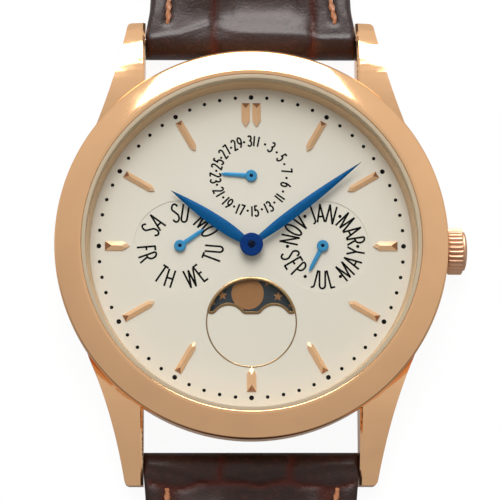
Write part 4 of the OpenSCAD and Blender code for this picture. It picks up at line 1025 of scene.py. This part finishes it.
blue = lacquer("blue_lacquer", ink(0, 78, 132), ink(4, 88, 144))
boss_blue = lacquer("boss_blue", ink(0, 46, 114), ink(2, 54, 122))
light_blue = lacquer("light_blue_lacquer", ink(52, 138, 190), ink(74, 152, 196))
dark_pin = lacquer("dark_pin", ink(2, 10, 30), ink(6, 20, 48))
HOUR_Z, MINUTE_Z, SMALL_Z, LEAF_T = 6.15, 6.55, 5.6, 0.17


def hub(inner, outer, base, thick):
    """A round boss with a softened edge."""
    return turned(rounded([(inner, base), (outer, base), (outer, base + thick),
                           (inner, base + thick)], [0.01, 0.03, 0.08, 0.02], 4), 96)


hour = join(leaf(9.45, 1.24, HOUR_Z, LEAF_T, leaf_share), hub(0.63, 1.1, HOUR_Z, LEAF_T))
minute = leaf(13.4, 1.02, MINUTE_Z, LEAF_T, leaf_share)
piece("hour_leaf", pointed(hour, (0, 0), 304.4), "hour_works", blue, ["hour_hand"])
piece("minute_leaf", pointed(minute, (0, 0), 52.8), "minute_works", blue,
      ["minute_hand"])
piece("minute_boss", hub(0.37, 1.12, MINUTE_Z, 0.20), "minute_works", boss_blue)
CAP_Z, PIN_Z = MINUTE_Z + 0.195, SMALL_Z + 0.12
piece("centre_cap", turned([(0, CAP_Z), (0.37, CAP_Z), (0.37, CAP_Z + 0.055), (0.3, CAP_Z + 0.085),
                            (0, CAP_Z + 0.095)], 64),
      "minute_works", dark_pin)
for name, at, angle, length in (("date", date_at, 274, 2.95), ("day", day_at, 54.7, 2.82),
                                ("month", month_at, 208, 2.82)):
    arm = join(leaf(length, 0.46, SMALL_Z, 0.1, arm_share, 40, 7),
               hub(0.17, 0.57, SMALL_Z, 0.2))
    piece(name + "_pointer", pointed(arm, at, angle), name + "_works", light_blue,
          [name + "_hand"])
    pin_line = [(0, PIN_Z), (0.175, PIN_Z), (0.175, PIN_Z + 0.05), (0, PIN_Z + 0.07)]
    piece(name + "_pin", turned(pin_line, 32, at),
          name + "_works", dark_pin)
print("hands ready")

# %% [markdown]
# ## The strap
# A strap half is leather glued over a pad and folded round the spring bar at one end. A cloth
# simulation of that would not keep measured sizes, so each half is one long grid whose sections
# follow the CAD solid: round over the spring bar, a dip behind it, thick over the padding and
# thin towards the end.

# %% Strap sections
BAR_Y, BAR_Z, END_R, FLAT_T, LINING_T, LINING_Y = 21.3, 1.9, 1.85, 2.4, 0.5, 24.3
STRAP_W, NECK_W, END_W, NECK_L, TAPER_Y = 20.84, 20.0, 17.8, 3.5, 58.05
BUCKLE_Y, BUCKLE_Z, TIP_END, POINT_L, LINING_END = 96.3, 2.1, 136.3, 14.0, 92.1
SEAM, HOLE_R, EDGE_T, DIP_T, PAD_T, NECK_6_W = 1.95, 1.15, 2.3, 3.2, 4.0, 20.4
HOLES = [112.3 - 6 * i for i in range(7)]


def smooth(a, b, t):
    """From a to b as t goes from 0 to 1, level at both ends: a + (b - a)(3 t^2 - 2 t^3)."""
    u = np.clip(t, 0, 1)
    return a + (b - a) * u * u * (3 - 2 * u)


def strap_half(y, neck=NECK_W):
    """Half the strap's width: full between the lugs, stepped in smoothly within NECK_L, then
    tapering in a straight line up to TAPER_Y."""
    start = BAR_Y + NECK_L
    past = neck + (END_W - neck) * np.clip((y - start) / (TAPER_Y - start), 0, 1)
    return np.where(y < start, smooth(STRAP_W, neck, (y - BAR_Y) / NECK_L), past) / 2


def strap_middle(s):
    """Thickness over the middle, by the distance from the spring bar: a dip at 3 mm, the full
    pad at 9 mm, flat from 40 mm on, with smooth rises and falls between."""
    pad = np.where(s < 9, smooth(DIP_T, PAD_T, (s - 3) / 6), smooth(PAD_T, FLAT_T, (s - 9) / 31))
    return np.where(s < 3, smooth(2 * END_R, DIP_T, s / 3), pad)


def strap_edge(s):
    """Thickness at the edge: it goes from the round end's to the flat edge's within 8 mm."""
    return smooth(2 * END_R, EDGE_T, s / 8)


def under_12(y):
    """Height of the underside of the 12 o'clock half, which rises towards the buckle bar."""
    return smooth(BAR_Z - END_R, BUCKLE_Z - FLAT_T / 2, (y - LINING_Y) / 18)


def under_6(y):
    """Height of the underside of the 6 o'clock half, which comes down flat within 12 mm."""
    return (BAR_Z - END_R) * (1 - np.clip((y - BAR_Y) / 12, 0, 1))


print("strap widths:", strap_half(np.array([20.0, 26.0, 60.0])) * 2)

# %% [markdown]
# ## Crocodile scales
# On the real strap a hot plate presses the pattern into calf leather. A height map would need a
# picture; here every scale is a seed. A point belongs to the nearest one, and where two are
# equally near runs a groove. The distance is measured with fourth powers, which makes the scales
# squarish. The height is added along the surface's own normal, so the pattern rolls over the
# nose without stretching.

# %% Crocodile scales
SCALE_H, GROOVE_H, GROOVE_W = 0.20, 0.18, 0.24


def strap_rows(first, length, rng):
    """Seeds of the scales, [x, s, half width, half length]: the given first rows of
    (s, pitch, columns), then rows that grow smaller towards the end, each a little out of line."""
    seeds = [(x, s, wide / 2, pitch / 2) for s, pitch, columns in first for x, wide in columns]
    s = first[-1][0] + first[-1][1] / 2
    while s < length + 4:
        pitch = np.interp(s, [6, 30, 110], [6.6, 5.0, 3.2])
        wide = np.interp(s, [6, 30, 110], [6.4, 5.2, 3.4]) * rng.uniform(0.9, 1.1)
        count = int(24 / wide) + 2
        xs = (np.arange(count) - (count - 1) / 2) * wide + rng.uniform(-0.5, 0.5) * wide
        seeds += [(x + rng.normal(0, 0.25), s + pitch / 2 + rng.normal(0, 0.12 * pitch),
                   wide / 2, pitch / 2) for x in xs]
        s += pitch
    return np.array(seeds)


def emboss(x, s, seeds):
    """Height of the scales and depth of the grooves at points (x, s). The distance to a seed is
    the fourth root of (dx / a)^4 + (ds / b)^4. Half the difference of the two smallest, times
    the scale's size, is how far inside its scale a point lies: the height grows with that as
    1 - exp(-inside / 0.7), and the groove is a bell curve about 0."""
    first = np.full(x.shape, 9.0)
    second, size = first.copy(), np.ones(x.shape)
    for sx, ss, a, b in seeds:
        wobble = 0.12 * np.sin(2.1 * s + sx) + 0.12 * np.sin(1.7 * x + 2 * ss)
        d = ((np.abs(x - sx + wobble) / a) ** 4 + (np.abs(s - ss + wobble) / b) ** 4) ** 0.25
        nearer = d < first
        second = np.where(nearer, first, np.minimum(second, d))
        size = np.where(nearer, min(a, b), size)
        first = np.where(nearer, d, first)
    inside = (second - first) * size / 2
    groove = np.exp(-((inside / GROOVE_W) ** 2))
    return SCALE_H * (1 - np.exp(-inside / 0.7)) - GROOVE_H * groove, groove


def wrinkles(x, s, rng, waves=28):
    """Fine uneven folds: the mean of sine waves in random directions, each as high as long."""
    total = np.zeros(x.shape)
    for _ in range(waves):
        angle, wave = rng.uniform(0, np.pi), rng.uniform(0.5, 2.2)
        total += wave * np.sin((x * np.cos(angle) + s * np.sin(angle)) * 2 * np.pi / wave
                               + rng.uniform(0, 6.3))
    return total / waves


print("scale helpers ready")

# %% [markdown]
# ## The fold at the spring bar
# Where the leather comes round the spring bar it makes a ridge and then falls into the first
# scales. Sculpting would do for one picture only. Here a few points give the ridge's wandering
# line, and its height is a bell curve across that line.

# %% Fold
# The ridge lies CREST_S behind the bar at CREST_X across the strap. The first scales meet in
# two grooves, at these places across.
CREST_X = [-9.9, -7.0, -5.0, -4.0, -3.3, -2.6, -1.4, 0.5, 3.5, 5.3, 6.2, 6.5]
CREST_S = [-0.20, 0.25, 0.95, 1.45, 1.30, 0.90, 0.43, 0.33, 0.23, 0.25, 0.25, -0.20]
FOLD_GROOVES = (-3.74, 6.3)


def crest(x, s):
    """The fold where leather leaves the spring bar. A bell curve of the way behind the line is
    the ridge. Between the two grooves the leather then falls slowly; on the side scales it falls
    sharply and makes that up within 3 mm. All of it fades out by 9.5 mm from the bar."""
    left, right_groove = FOLD_GROOVES
    middle = smooth(0, 1, (x - left - 0.3) / 2.2) * smooth(0, 1, (right_groove - 0.3 - x) / 2.2)
    behind = s - np.interp(x, CREST_X, CREST_S)
    ridge = (0.07 + 0.03 * middle) * np.exp(-((behind / 0.30) ** 2))
    side_fall = -0.12 * smooth(0, 1, behind / 0.5) + 0.20 * smooth(0, 1, (behind - 0.5) / 3)
    slow_fall = -0.62 * smooth(0, 1, behind / 4.2)
    return ridge + (middle * slow_fall + (1 - middle) * side_fall) * smooth(1, 0, (s - 4.5) / 5)


print("fold ready")

# %% [markdown]
# ## Punched holes
# The strap has seven round holes for the buckle's tongue. A boolean cut would leave long thin
# faces that shade badly. Moving the grid's own points onto each circle keeps the rows, and the
# wall of a hole is made of the same points.


# %% Punched holes
def punched(ring, top, bottom, holes, radius):
    """Faces of a strip with round holes. Points just outside each circle move onto it, points
    inside drop halfway down its wall, where the top and the underside share them, and the faces
    between inner points go."""
    n, m = ring.shape[:2]
    index = np.arange(n * m).reshape(n, m)
    inner = np.zeros((n, m), bool)
    flat = ring[:, top, :2].copy()
    halfway = (ring[:, top, 2] + ring[:, bottom, 2]) / 2
    for hole in holes:
        away = flat - (0, hole)
        far = np.linalg.norm(away, axis=2)
        inside = far < radius
        near = inside.copy()
        near[1:] |= inside[:-1]
        near[:-1] |= inside[1:]
        wide = near.copy()
        wide[:, 1:] |= near[:, :-1]
        wide[:, :-1] |= near[:, 1:]
        on_it = (0, hole) + away / np.maximum(far, 1e-6)[..., None] * radius
        for cols in (top, bottom):
            part = ring[:, cols]
            part[wide, :2] = on_it[wide]
            part[inside, 2] = halfway[inside]
            ring[:, cols] = part
            inner[:, cols] |= inside
        index[:, bottom] = np.where(inside, index[:, top], index[:, bottom])
    faces = np.array(grid_faces(n, m, wrap_cols=True))
    return index.ravel()[faces[~inner.ravel()[faces].all(1)]].tolist()


print("hole helper ready")

# %% [markdown]
# ## Strap surfaces
# The leather is thin at its rolled edges, sinks under the seam and swells like a pillow inside
# it. Displacement in the shader would not show in the outline, so the embossing moves real
# points. The top is worked out first, then the edges and the underside close it to a strip.

# %% Strap surfaces
COLUMN_TURN, LINING_SHARE = np.pi / 2 * 0.985, 0.93
ROLL_R, FURROW_W, FURROW_H, PILLOW_H, WRINKLE_H = 0.55, 0.40, 0.20, 0.20, 0.035


def crowded(cols, turn):
    """Columns from -1 to 1 that crowd towards both edges: u = sin(turn v) / sin(turn)."""
    return np.sin(np.linspace(-1, 1, cols) * turn) / math.sin(turn)


def embossed_top(y, sections, u, seeds, rng):
    """Grid of the top and its groove depths. The smooth height is under + edge +
    (middle - edge)(1 - |u|^2.5), less a quarter round along both edges. The scales, wrinkles,
    fold, the furrow of the seam and the pillow inside it are added along the normal."""
    half, under, edge, middle = (part[:, None] for part in sections)
    x = half * u
    from_edge = half - np.abs(x)
    roll_r = np.minimum(ROLL_R, 0.30 * edge)
    roll_in = np.clip(roll_r - from_edge, 0, None)
    drop = roll_r - np.sqrt(np.clip(roll_r**2 - roll_in**2, 0, None))
    z = under + edge + (middle - edge) * (1 - np.abs(u) ** 2.5) - drop
    top = np.stack([x, np.repeat(y[:, None], len(u), 1), z], -1)
    normal = np.cross(np.gradient(top, axis=1), np.gradient(top, axis=0))
    normal /= np.maximum(np.linalg.norm(normal, axis=2), 1e-9)[..., None]
    step = np.linalg.norm(np.diff(top[:, len(u) // 2], axis=0), axis=1)
    gone = np.concatenate([[0], np.cumsum(step)])
    s = np.repeat((gone - np.interp(BAR_Y, y, gone))[:, None], len(u), 1)
    height, groove = emboss(x, s, seeds)
    height += WRINKLE_H * wrinkles(x, s, rng)
    calm = smooth(0, 1, from_edge / 0.7)
    pad = smooth(1, 0, (s - 18) / 42)
    seam = np.exp(-(((from_edge - SEAM) / FURROW_W) ** 2)) * smooth(0, 1, (s - 1.0) / 0.8)
    pillow = PILLOW_H * smooth(0, 1, (from_edge - SEAM) / 2.2) * pad * smooth(0, 1, (s - 2) / 5)
    ends = smooth(0, 1, (gone - 0.2) / 1.2) * smooth(0, 1, (gone[-1] - gone - 0.2) / 1.2)
    lifted = (height - 0.05) * calm * (1 - 0.7 * seam) - FURROW_H * seam + pillow
    lifted = lifted + crest(x, s) * calm
    return top + normal * (lifted * ends[:, None])[..., None], groove * calm


def strap_surface(y, sections, sign, seeds, rng, recess, holes=(), cols=85):
    """Closed strip through the sections at y: embossed top, upright edges and a flat underside
    with a recess for the lining. Gives its points, faces, groove depths and the top's grid."""
    u = crowded(cols, COLUMN_TURN)
    half, under, edge, _ = sections
    top, groove = embossed_top(y, sections, u, seeds, rng)
    margin = np.abs(u) >= LINING_SHARE
    flat = np.dstack([top[..., :2], under[:, None] + recess[:, None] * ~margin])
    flat[:, margin, 0] = np.sign(u[margin]) * np.clip(np.abs(half[:, None] * u[margin]), None,
                                                      half[:, None] - 0.35)
    rim = [(1.0, 0.55), (1.0, 0.30), (0.985, 0.08)]
    right_side = [np.stack([half * a, y, under + (edge - ROLL_R) * b], -1) for a, b in rim]
    left_side = [p * (-1, 1, 1) for p in right_side[::-1]]
    ring = np.concatenate([top, np.stack(right_side, 1), flat[:, ::-1], np.stack(left_side, 1)], 1)
    under_cols = np.arange(2 * cols + 2, cols + 2, -1)
    faces = punched(ring, np.arange(cols), under_cols, holes, HOLE_R)
    mark = np.concatenate([groove, np.zeros((len(y), cols + 6))], 1)
    ring[..., 1] *= sign
    faces += end_caps(*ring.shape[:2])
    return (ring.reshape(-1, 3), faces, mark.ravel(),
            {"top": top * (1, sign, 1), "half": half, "y": y, "sign": sign})


def compact(points, faces, *more):
    """The same part without the points that no face uses."""
    used = np.unique(np.concatenate([np.ravel(f) for f in faces]))
    new = np.zeros(len(points), int)
    new[used] = np.arange(len(used))
    return (points[used], [tuple(int(k) for k in new[list(f)]) for f in faces],
            *[values[used] for values in more])


def nose_rings(pressed=0.0, steps=16):
    """Sections of the round end over the spring bar, from its front to its top: at angle a they
    lie END_R cos(a) before the bar and are 2 END_R sin(a) thick. The front may be pressed back
    a little. Gives y and the four section values."""
    a = np.radians(np.linspace(8, 86, steps))
    y = BAR_Y - (END_R - pressed) * np.cos(a)
    thick = 2 * END_R * np.sin(a)
    return y, (np.full(steps, STRAP_W / 2), BAR_Z - thick / 2, thick, thick)


print("strap helpers ready")

# %% [markdown]
# ## Leather
# The leather is dyed dark brown and glazed, and the dye gathers redder in the grooves. Each
# point of the mesh carries its groove depth as an attribute, which the shader reads. So colour
# and shape agree without a texture that has to be fitted.


# %% Leather
def croc_leather(tree):
    """Dark brown glazed leather: redder in the grooves, grainy and glossy on the scales. The
    glaze is thin where the end folds down over the spring bar."""
    groove = tree.node("Attribute", {"attribute_name": "groove"}, out=2)
    grain = tree.noise(4300.0, 4.0)
    pores = tree.noise(1500.0, 3.0)
    cloudy = tree.noise(160.0, 2.0)
    along = tree.axis(1)
    glazed = 0.15 + 0.85 * tree.step(tree.math("ABSOLUTE", along), 20.2 * MM, 21.6 * MM)
    brown = tree.mix(cloudy, ink(48, 23, 17), ink(32, 16, 12))
    worn = tree.mix(tree.step(pores, 0.5, 0.75) * 0.5, brown, ink(66, 33, 24))
    tone = tree.mix(groove * 0.75, worn, ink(80, 31, 19))
    height = 0.8 * grain + 0.6 * pores
    return {"Base Color": tone, "Roughness": 0.36 + 0.26 * grain, "Specular IOR Level": 0.2,
            "Coat Weight": (0.46 - 0.30 * groove) * glazed, "Coat Roughness": 0.40,
            "Normal": tree.bump(height, 1.0, 0.15 * MM)}


croc = finish("croc_leather", croc_leather)


def leather(name, surface, body):
    """The strip as a padded leather piece that stands for the CAD half of the same body."""
    points, faces, mark = compact(*surface[:3])
    made = piece(name, outward(points, faces), body, croc, [body])
    groove = made.data.attributes.new("groove", "FLOAT", "POINT")
    groove.data.foreach_set("value", mark.astype(np.float32))
    return made


print("leather ready")

# %% [markdown]
# ## Strap halves
# One half runs from its spring bar to the buckle, the other to a point with holes. Their first
# rows of scales are placed as on the photographed strap, the rest at random with a fixed seed.
# A random generator without a seed would give another strap in every run.

# %% Strap halves
SLOT_Y, RECESS, RECESS_Y = BUCKLE_Y - 3.6, 0.45, 24.0
rng = np.random.default_rng(12)


def along_body(y, under, neck=NECK_W):
    """Section values past the spring bar: half width, underside, edge and middle thickness."""
    return strap_half(y, neck), under(y), strap_edge(y - BAR_Y), strap_middle(y - BAR_Y)


def joined(*stretches):
    """Section values of stretches that follow each other along the strap."""
    return [np.concatenate(parts) for parts in zip(*stretches)]


nose_y, nose = nose_rings()
body_y = np.arange(BAR_Y, SLOT_Y + 0.1, 0.235)
y = np.concatenate([nose_y, body_y])
recess = RECESS * smooth(0, 1, (y - RECESS_Y) / 0.4) * smooth(1, 0, (y - LINING_END + 0.1) / 0.4)
# The photographed rows: distance from the bar, pitch, and (x, width) of each scale.
first = [(2.0, 9.0, [(-8.75, 10.0), (1.28, 10.0), (11.3, 10.0)])]
seeds = strap_rows(first, 76, rng)
surface_12 = strap_surface(y, joined(nose, along_body(body_y, under_12)), 1, seeds, rng, recess)
strap_12 = leather("strap_12_leather", surface_12, "strap_12")

nose_y, nose = nose_rings(pressed=0.33)
body_y = np.arange(BAR_Y, TIP_END - POINT_L, 0.27)
tip_a = np.radians(np.linspace(0, 84, 40))
tip = (END_W / 2 * np.cos(tip_a) ** 0.8, np.zeros(len(tip_a)),
       smooth(EDGE_T, 2.1, 2 * np.sin(tip_a)), smooth(FLAT_T, 2.2, 2 * np.sin(tip_a)))
y = np.concatenate([nose_y, body_y, TIP_END - POINT_L * (1 - np.sin(tip_a))])
recess = RECESS * smooth(0, 1, (y - RECESS_Y) / 0.4) * smooth(1, 0, (y - TIP_END + 1.2) / 0.6)
first = [(-1.6, 6.6, [(-6.5, 7), (0.4, 7), (7.2, 7)]),
         (5.0, 6.6, [(-15.7, 15.4), (-0.3, 15.4), (14.9, 15.4)])]
seeds = strap_rows(first, 116, rng)
surface_6 = strap_surface(y, joined(nose, along_body(body_y, under_6, NECK_6_W), tip), -1, seeds,
                          rng, recess, HOLES)
strap_6 = leather("strap_6_leather", surface_6, "strap_6")
print("strap faces:", len(strap_12.data.polygons), len(strap_6.data.polygons))

# %% [markdown]
# ## Linings
# Under each half lies a lining of pale nubuck that touches the wrist. It could be a second
# colour on the leather's underside, but the CAD has it as a piece of its own with a recess
# around it, so it is a flat strip with soft edges, and it shares its holes with the leather.


# %% Linings
def nubuck(tree):
    """Matte nubuck, mottled, with a nap fine enough to read as velvet."""
    nap = tree.noise(6500.0, 4.0)
    cloudy = tree.noise(220.0, 3.0)
    tone = tree.mix(cloudy, ink(150, 106, 74), ink(124, 84, 58))
    return {"Base Color": tree.mix(nap * 0.4, tone, ink(172, 130, 96)),
            "Roughness": 0.78 + 0.12 * nap, "Specular IOR Level": 0.3,
            "Normal": tree.bump(nap, 0.5, 0.03 * MM)}


def lining(name, y, half, low, sign, body, holes=(), cols=61):
    """Flat strip between the sections at y. Within 0.2 mm of its long edges the underside rises
    with the square of the way."""
    u = crowded(cols, np.pi / 2 * 0.97)
    grid_x, grid_y = half[:, None] * u, np.repeat(y[:, None], cols, 1)
    round_off = 0.12 * np.clip((np.abs(grid_x) - half[:, None] + 0.2) / 0.2, 0, 1) ** 2
    top_z = np.broadcast_to(low[:, None] + LINING_T - 0.06, grid_x.shape)
    top = np.stack([grid_x, grid_y, top_z], -1)
    flat = np.stack([grid_x, grid_y, low[:, None] + 0.01 + round_off], -1)[:, ::-1]
    ring = np.concatenate([top, flat], 1)
    faces = punched(ring, np.arange(cols), np.arange(2 * cols - 1, cols - 1, -1), holes, HOLE_R)
    faces += end_caps(*ring.shape[:2])
    ring[..., 1] *= sign
    points, faces = compact(ring.reshape(-1, 3), faces)
    piece(name + "_nubuck", outward(points, faces), body, suede, [name])


suede = finish("nubuck", nubuck)
y = np.arange(LINING_Y + 0.05, LINING_END, 0.5)
lining("strap_12_lining", y, strap_half(y) - 0.36, under_12(y), 1, "strap_12")
tip_a = np.radians(np.linspace(0, 80, 24))
y = np.concatenate([np.arange(LINING_Y + 0.05, TIP_END - POINT_L, 0.27),
                    TIP_END - 0.5 - (POINT_L - 0.5) * (1 - np.sin(tip_a))])
half = np.where(y < TIP_END - POINT_L, strap_half(y),
                END_W / 2 * np.sqrt(np.clip(1 - ((y - TIP_END + POINT_L) / (POINT_L - 0.3)) ** 2,
                                            0.004, 1)) ** 0.8)
lining("strap_6_lining", y, half - 0.36, under_6(y), -1, "strap_6", HOLES)
print("linings ready")

# %% [markdown]
# ## Buckle end and keepers
# At the buckle the leather folds round the bar in two ears, with a slot for the tongue between
# them, and two bands hold the strap's end down. Both are folds of leather of constant section,
# so each is an outline carried along a line, which keeps its thickness all the way round.

# %% Ears and keepers
EAR_T, EAR_R = 1.2, 1.25
fold = np.radians(np.linspace(90, -90, 17))
ear_line = np.concatenate([
    [(SLOT_Y - 0.6, BUCKLE_Z + EAR_T)],
    np.stack([BUCKLE_Y + EAR_R * np.cos(fold), BUCKLE_Z + EAR_T * np.sin(fold)], -1),
    [(SLOT_Y - 0.6, BUCKLE_Z - EAR_T)]])


def ear(side):
    """One ear: the folded outline carried across and drawn in towards its centre at both ends,
    centre + (outline - centre) * share."""
    xs = np.array([1.35, 1.40, 1.55, 2.2, 4.5, 7.0, 8.3, 8.75, 8.87, 8.9])
    draw_in = np.array([0.86, 0.94, 0.985, 1.0, 1.0, 1.0, 1.0, 0.985, 0.94, 0.86])
    centre = np.array([BUCKLE_Y - 2.0, BUCKLE_Z])
    flat = centre + (ear_line[None] - centre) * draw_in[:, None, None]
    points = np.concatenate([np.broadcast_to(side * xs[:, None, None], flat.shape[:2] + (1,)),
                             flat], -1)
    n, m = points.shape[:2]
    faces = grid_faces(n, m, wrap_cols=True) + end_caps(n, m)
    return outward(points.reshape(-1, 3), faces)


piece("buckle_ears", join(ear(1), ear(-1)), "strap_12", croc)
KEEPER_T, KEEPER_L, KEEPER_SIDE, KEEPER_LOW, KEEPER_HIGH = 0.85, 5.5, 9.2, 0.88, 6.28
FIXED_KEEPER_Y, FREE_KEEPER_Y = 88.8, 76.3


def keeper(name, centre_y, body):
    """A band round the strap: a flat rounded section carried round a rounded box."""
    a, b = KEEPER_T / 2, KEEPER_L / 2
    side, low, high = KEEPER_SIDE + a, KEEPER_LOW - a, KEEPER_HIGH + a
    box = rounded([(-side, low), (side, low), (side, high), (-side, high)], 1.1, 9)
    path = np.stack([box[:, 0], np.full(len(box), float(centre_y)), box[:, 1]], -1)
    a = a - 0.01
    section = rounded([(-a, -b), (a, -b), (a, b), (-a, b)], 0.28, 5)
    piece(name + "_leather", swept(path, section, closed=True, up=(0, 1, 0)), body, croc,
          [name])


keeper("fixed_keeper", FIXED_KEEPER_Y, "strap_12")
keeper("free_keeper", FREE_KEEPER_Y, "free_keeper")
print("ears and keepers ready")

# %% [markdown]
# ## Stitches
# The seams are sewn with a copper thread of two strands. A twisted pair of tubes needs twice the
# faces, so one stitch is a single tube whose radius swells twice on the way round, and the
# swelling turns along it like a rope. Its ends dive into the leather. Its height is read from
# the grid of the strap's top.

# %% Stitches
STITCH_L, STITCH_GAP, THREAD_R = 2.9, 1.0, 0.25


def top_height(grid, x, y):
    """Height of the strap's top at points (x, y): u = x / half gives the column, and heights
    are blended between the four grid points around."""
    top, half = grid["top"], grid["half"]
    rows = np.interp(y, grid["y"], np.arange(len(grid["y"])))
    share = np.clip(x / np.interp(y, grid["y"], half), -0.999, 0.999)
    v = np.arcsin(share * math.sin(COLUMN_TURN)) / COLUMN_TURN
    cols = (v + 1) / 2 * (top.shape[1] - 1)
    i, j = np.floor(rows).astype(int), np.floor(cols).astype(int)
    i, j = np.minimum(i, top.shape[0] - 2), np.minimum(j, top.shape[1] - 2)
    a, b = rows - i, cols - j
    z = top[..., 2]
    return ((1 - a) * (1 - b) * z[i, j] + a * (1 - b) * z[i + 1, j]
            + (1 - a) * b * z[i, j + 1] + a * b * z[i + 1, j + 1])


def stitch(ends, height, steps=14, around=8):
    """A rope along the line between two ends (x, y), laid on height(x, y). At angle c round it
    its radius is THREAD_R (1 + 0.3 cos 2(c - twist)), and the twist grows along the line."""
    t = np.linspace(0, 1, steps)
    line = ends[0] + (ends[1] - ends[0]) * t[:, None]
    z = height(line[:, 0], line[:, 1]) - 0.30 + 0.42 * np.sin(np.pi * t).clip(0, 1) ** 0.35
    path = np.column_stack([line, z])
    way = ends[1] - ends[0]
    side = np.append([-way[1], way[0]] / np.hypot(*way), 0)
    turn_t = np.linspace(0, 2 * np.pi, around, endpoint=False)
    twist = 10.0 * t[:, None] * np.hypot(*way) / 3
    swell = THREAD_R * (1 + 0.3 * np.cos(2 * (turn_t[None] - twist)))
    points = (path[:, None] + side * (swell * np.cos(turn_t))[..., None]
              + np.array([0, 0, 1]) * (swell * np.sin(turn_t))[..., None])
    faces = grid_faces(steps, around, wrap_cols=True) + end_caps(steps, around)
    return outward(points.reshape(-1, 3), faces)


def seam(grid, places, inset=SEAM, slant=0.12):
    """Stitches down both long edges, each a little slanted."""
    parts = []
    for side in (-1, 1):
        for start in places:
            y = np.array([start, start + STITCH_L])
            x = side * (strap_half(y) - inset) + slant * np.array([1, -1])
            parts.append(stitch(np.stack([x, y], -1), lambda a, b: top_height(grid, a, b)))
    points, faces = join(*parts)
    return points * (1, grid["sign"], 1), [f[::-1] for f in faces] if grid["sign"] < 0 else faces


# Waxed copper thread: paler on its strands, with fine fibres
thread = grained("copper_thread", ink(206, 142, 100), ink(170, 104, 70), (1200.0, 2.0),
                 (9000.0, 3.0), 0.42, 0.2, bump=0.4, depth=0.02)
pitch = STITCH_L + STITCH_GAP
sewn_12 = seam(surface_12[3], np.arange(BAR_Y + 1.35, FIXED_KEEPER_Y - 0.8, pitch))
piece("stitches_12", sewn_12, "strap_12", thread)
sewn_6 = seam(surface_6[3], np.arange(BAR_Y + 1.9, TIP_END - POINT_L - 2, pitch))
piece("stitches_6", sewn_6, "strap_6", thread)
print("stitch faces:", len(sewn_12[1]) + len(sewn_6[1]))

# %% [markdown]
# ## Inside the case and under it
# The movement shows when the watch is taken apart: brass plates and wheels, steel parts, a coil
# of copper wire, a green board, nylon and rubber. Its solids have the right shape already, so
# they only get their finishes, each worked out in space and not unwrapped. The buckle and the
# back are merged copies with soft edges.

# %% Movement, buckle and back
wear(steel, "quartz_resonator", "coil_core", "stator", "battery", "battery_clamp", "crown_tube",
     "spring_bar_12", "spring_bar_6", "cannon_pinion", "rotor", "sliding_pinion", "stem",
     "bar_pin_12_left", "bar_pin_12_right", "bar_pin_6_left", "bar_pin_6_right", "buckle_bar")
wear(brass, "main_plate", "train_bridge", "centre_wheel", "hour_wheel", "minute_wheel",
     "third_wheel", "intermediate_wheel", "date_wheel", "day_wheel", "month_wheel")
wear(blued, "bridge_screws")
wear(plastic("holder_nylon", ink(226, 224, 216), 0.45), "movement_holder")
wear(plastic("black_rubber", ink(26, 26, 27), 0.6, 3500.0), "back_gasket", "crown_gasket")


def board_lacquer(tree):
    """Green solder lacquer over copper, brighter where the copper lies under it."""
    lines = tree.math("PINGPONG", (tree.axis(0) + tree.axis(1)) * (1 / MM), 0.45)
    copper_under = tree.step(lines, 0.24, 0.30)
    fine = tree.noise(7000.0, 2.0)
    return {"Base Color": tree.mix(copper_under, ink(20, 78, 52), ink(44, 116, 74)),
            "Roughness": 0.32 + 0.1 * fine, "Normal": tree.bump(copper_under, 0.2, 0.01 * MM)}


def coil_wire(tree):
    """Enamelled copper wire: turns side by side across the coil. Its colour is darker where two
    turns meet, as painted shade, and lighter on each turn's crown, as a painted highlight.
    """
    turns = tree.math("PINGPONG", tree.axis(0) * (1 / MM), 0.06)
    # shade runs from painted shade between the turns to a painted highlight on their crowns
    shade = tree.step(turns, 0.0, 0.06)
    return {"Base Color": tree.mix(shade, ink(120, 58, 28), ink(206, 118, 66)),
            "Metallic": 0.8, "Roughness": 0.32 + 0.08 * shade,
            "Normal": tree.bump(shade, 0.4, 0.02 * MM)}


wear(finish("board_lacquer", board_lacquer), "circuit_board")
wear(finish("coil_wire", coil_wire), "coil_winding")
dressed("buckle_frame", rose_gold, "buckle", width=0.12, segments=3)
dressed("buckle_tongue", rose_gold, "tongue", width=0.12, segments=3)
dressed("case_back", turned_steel, "case", width=0.04)
print("movement dressed")
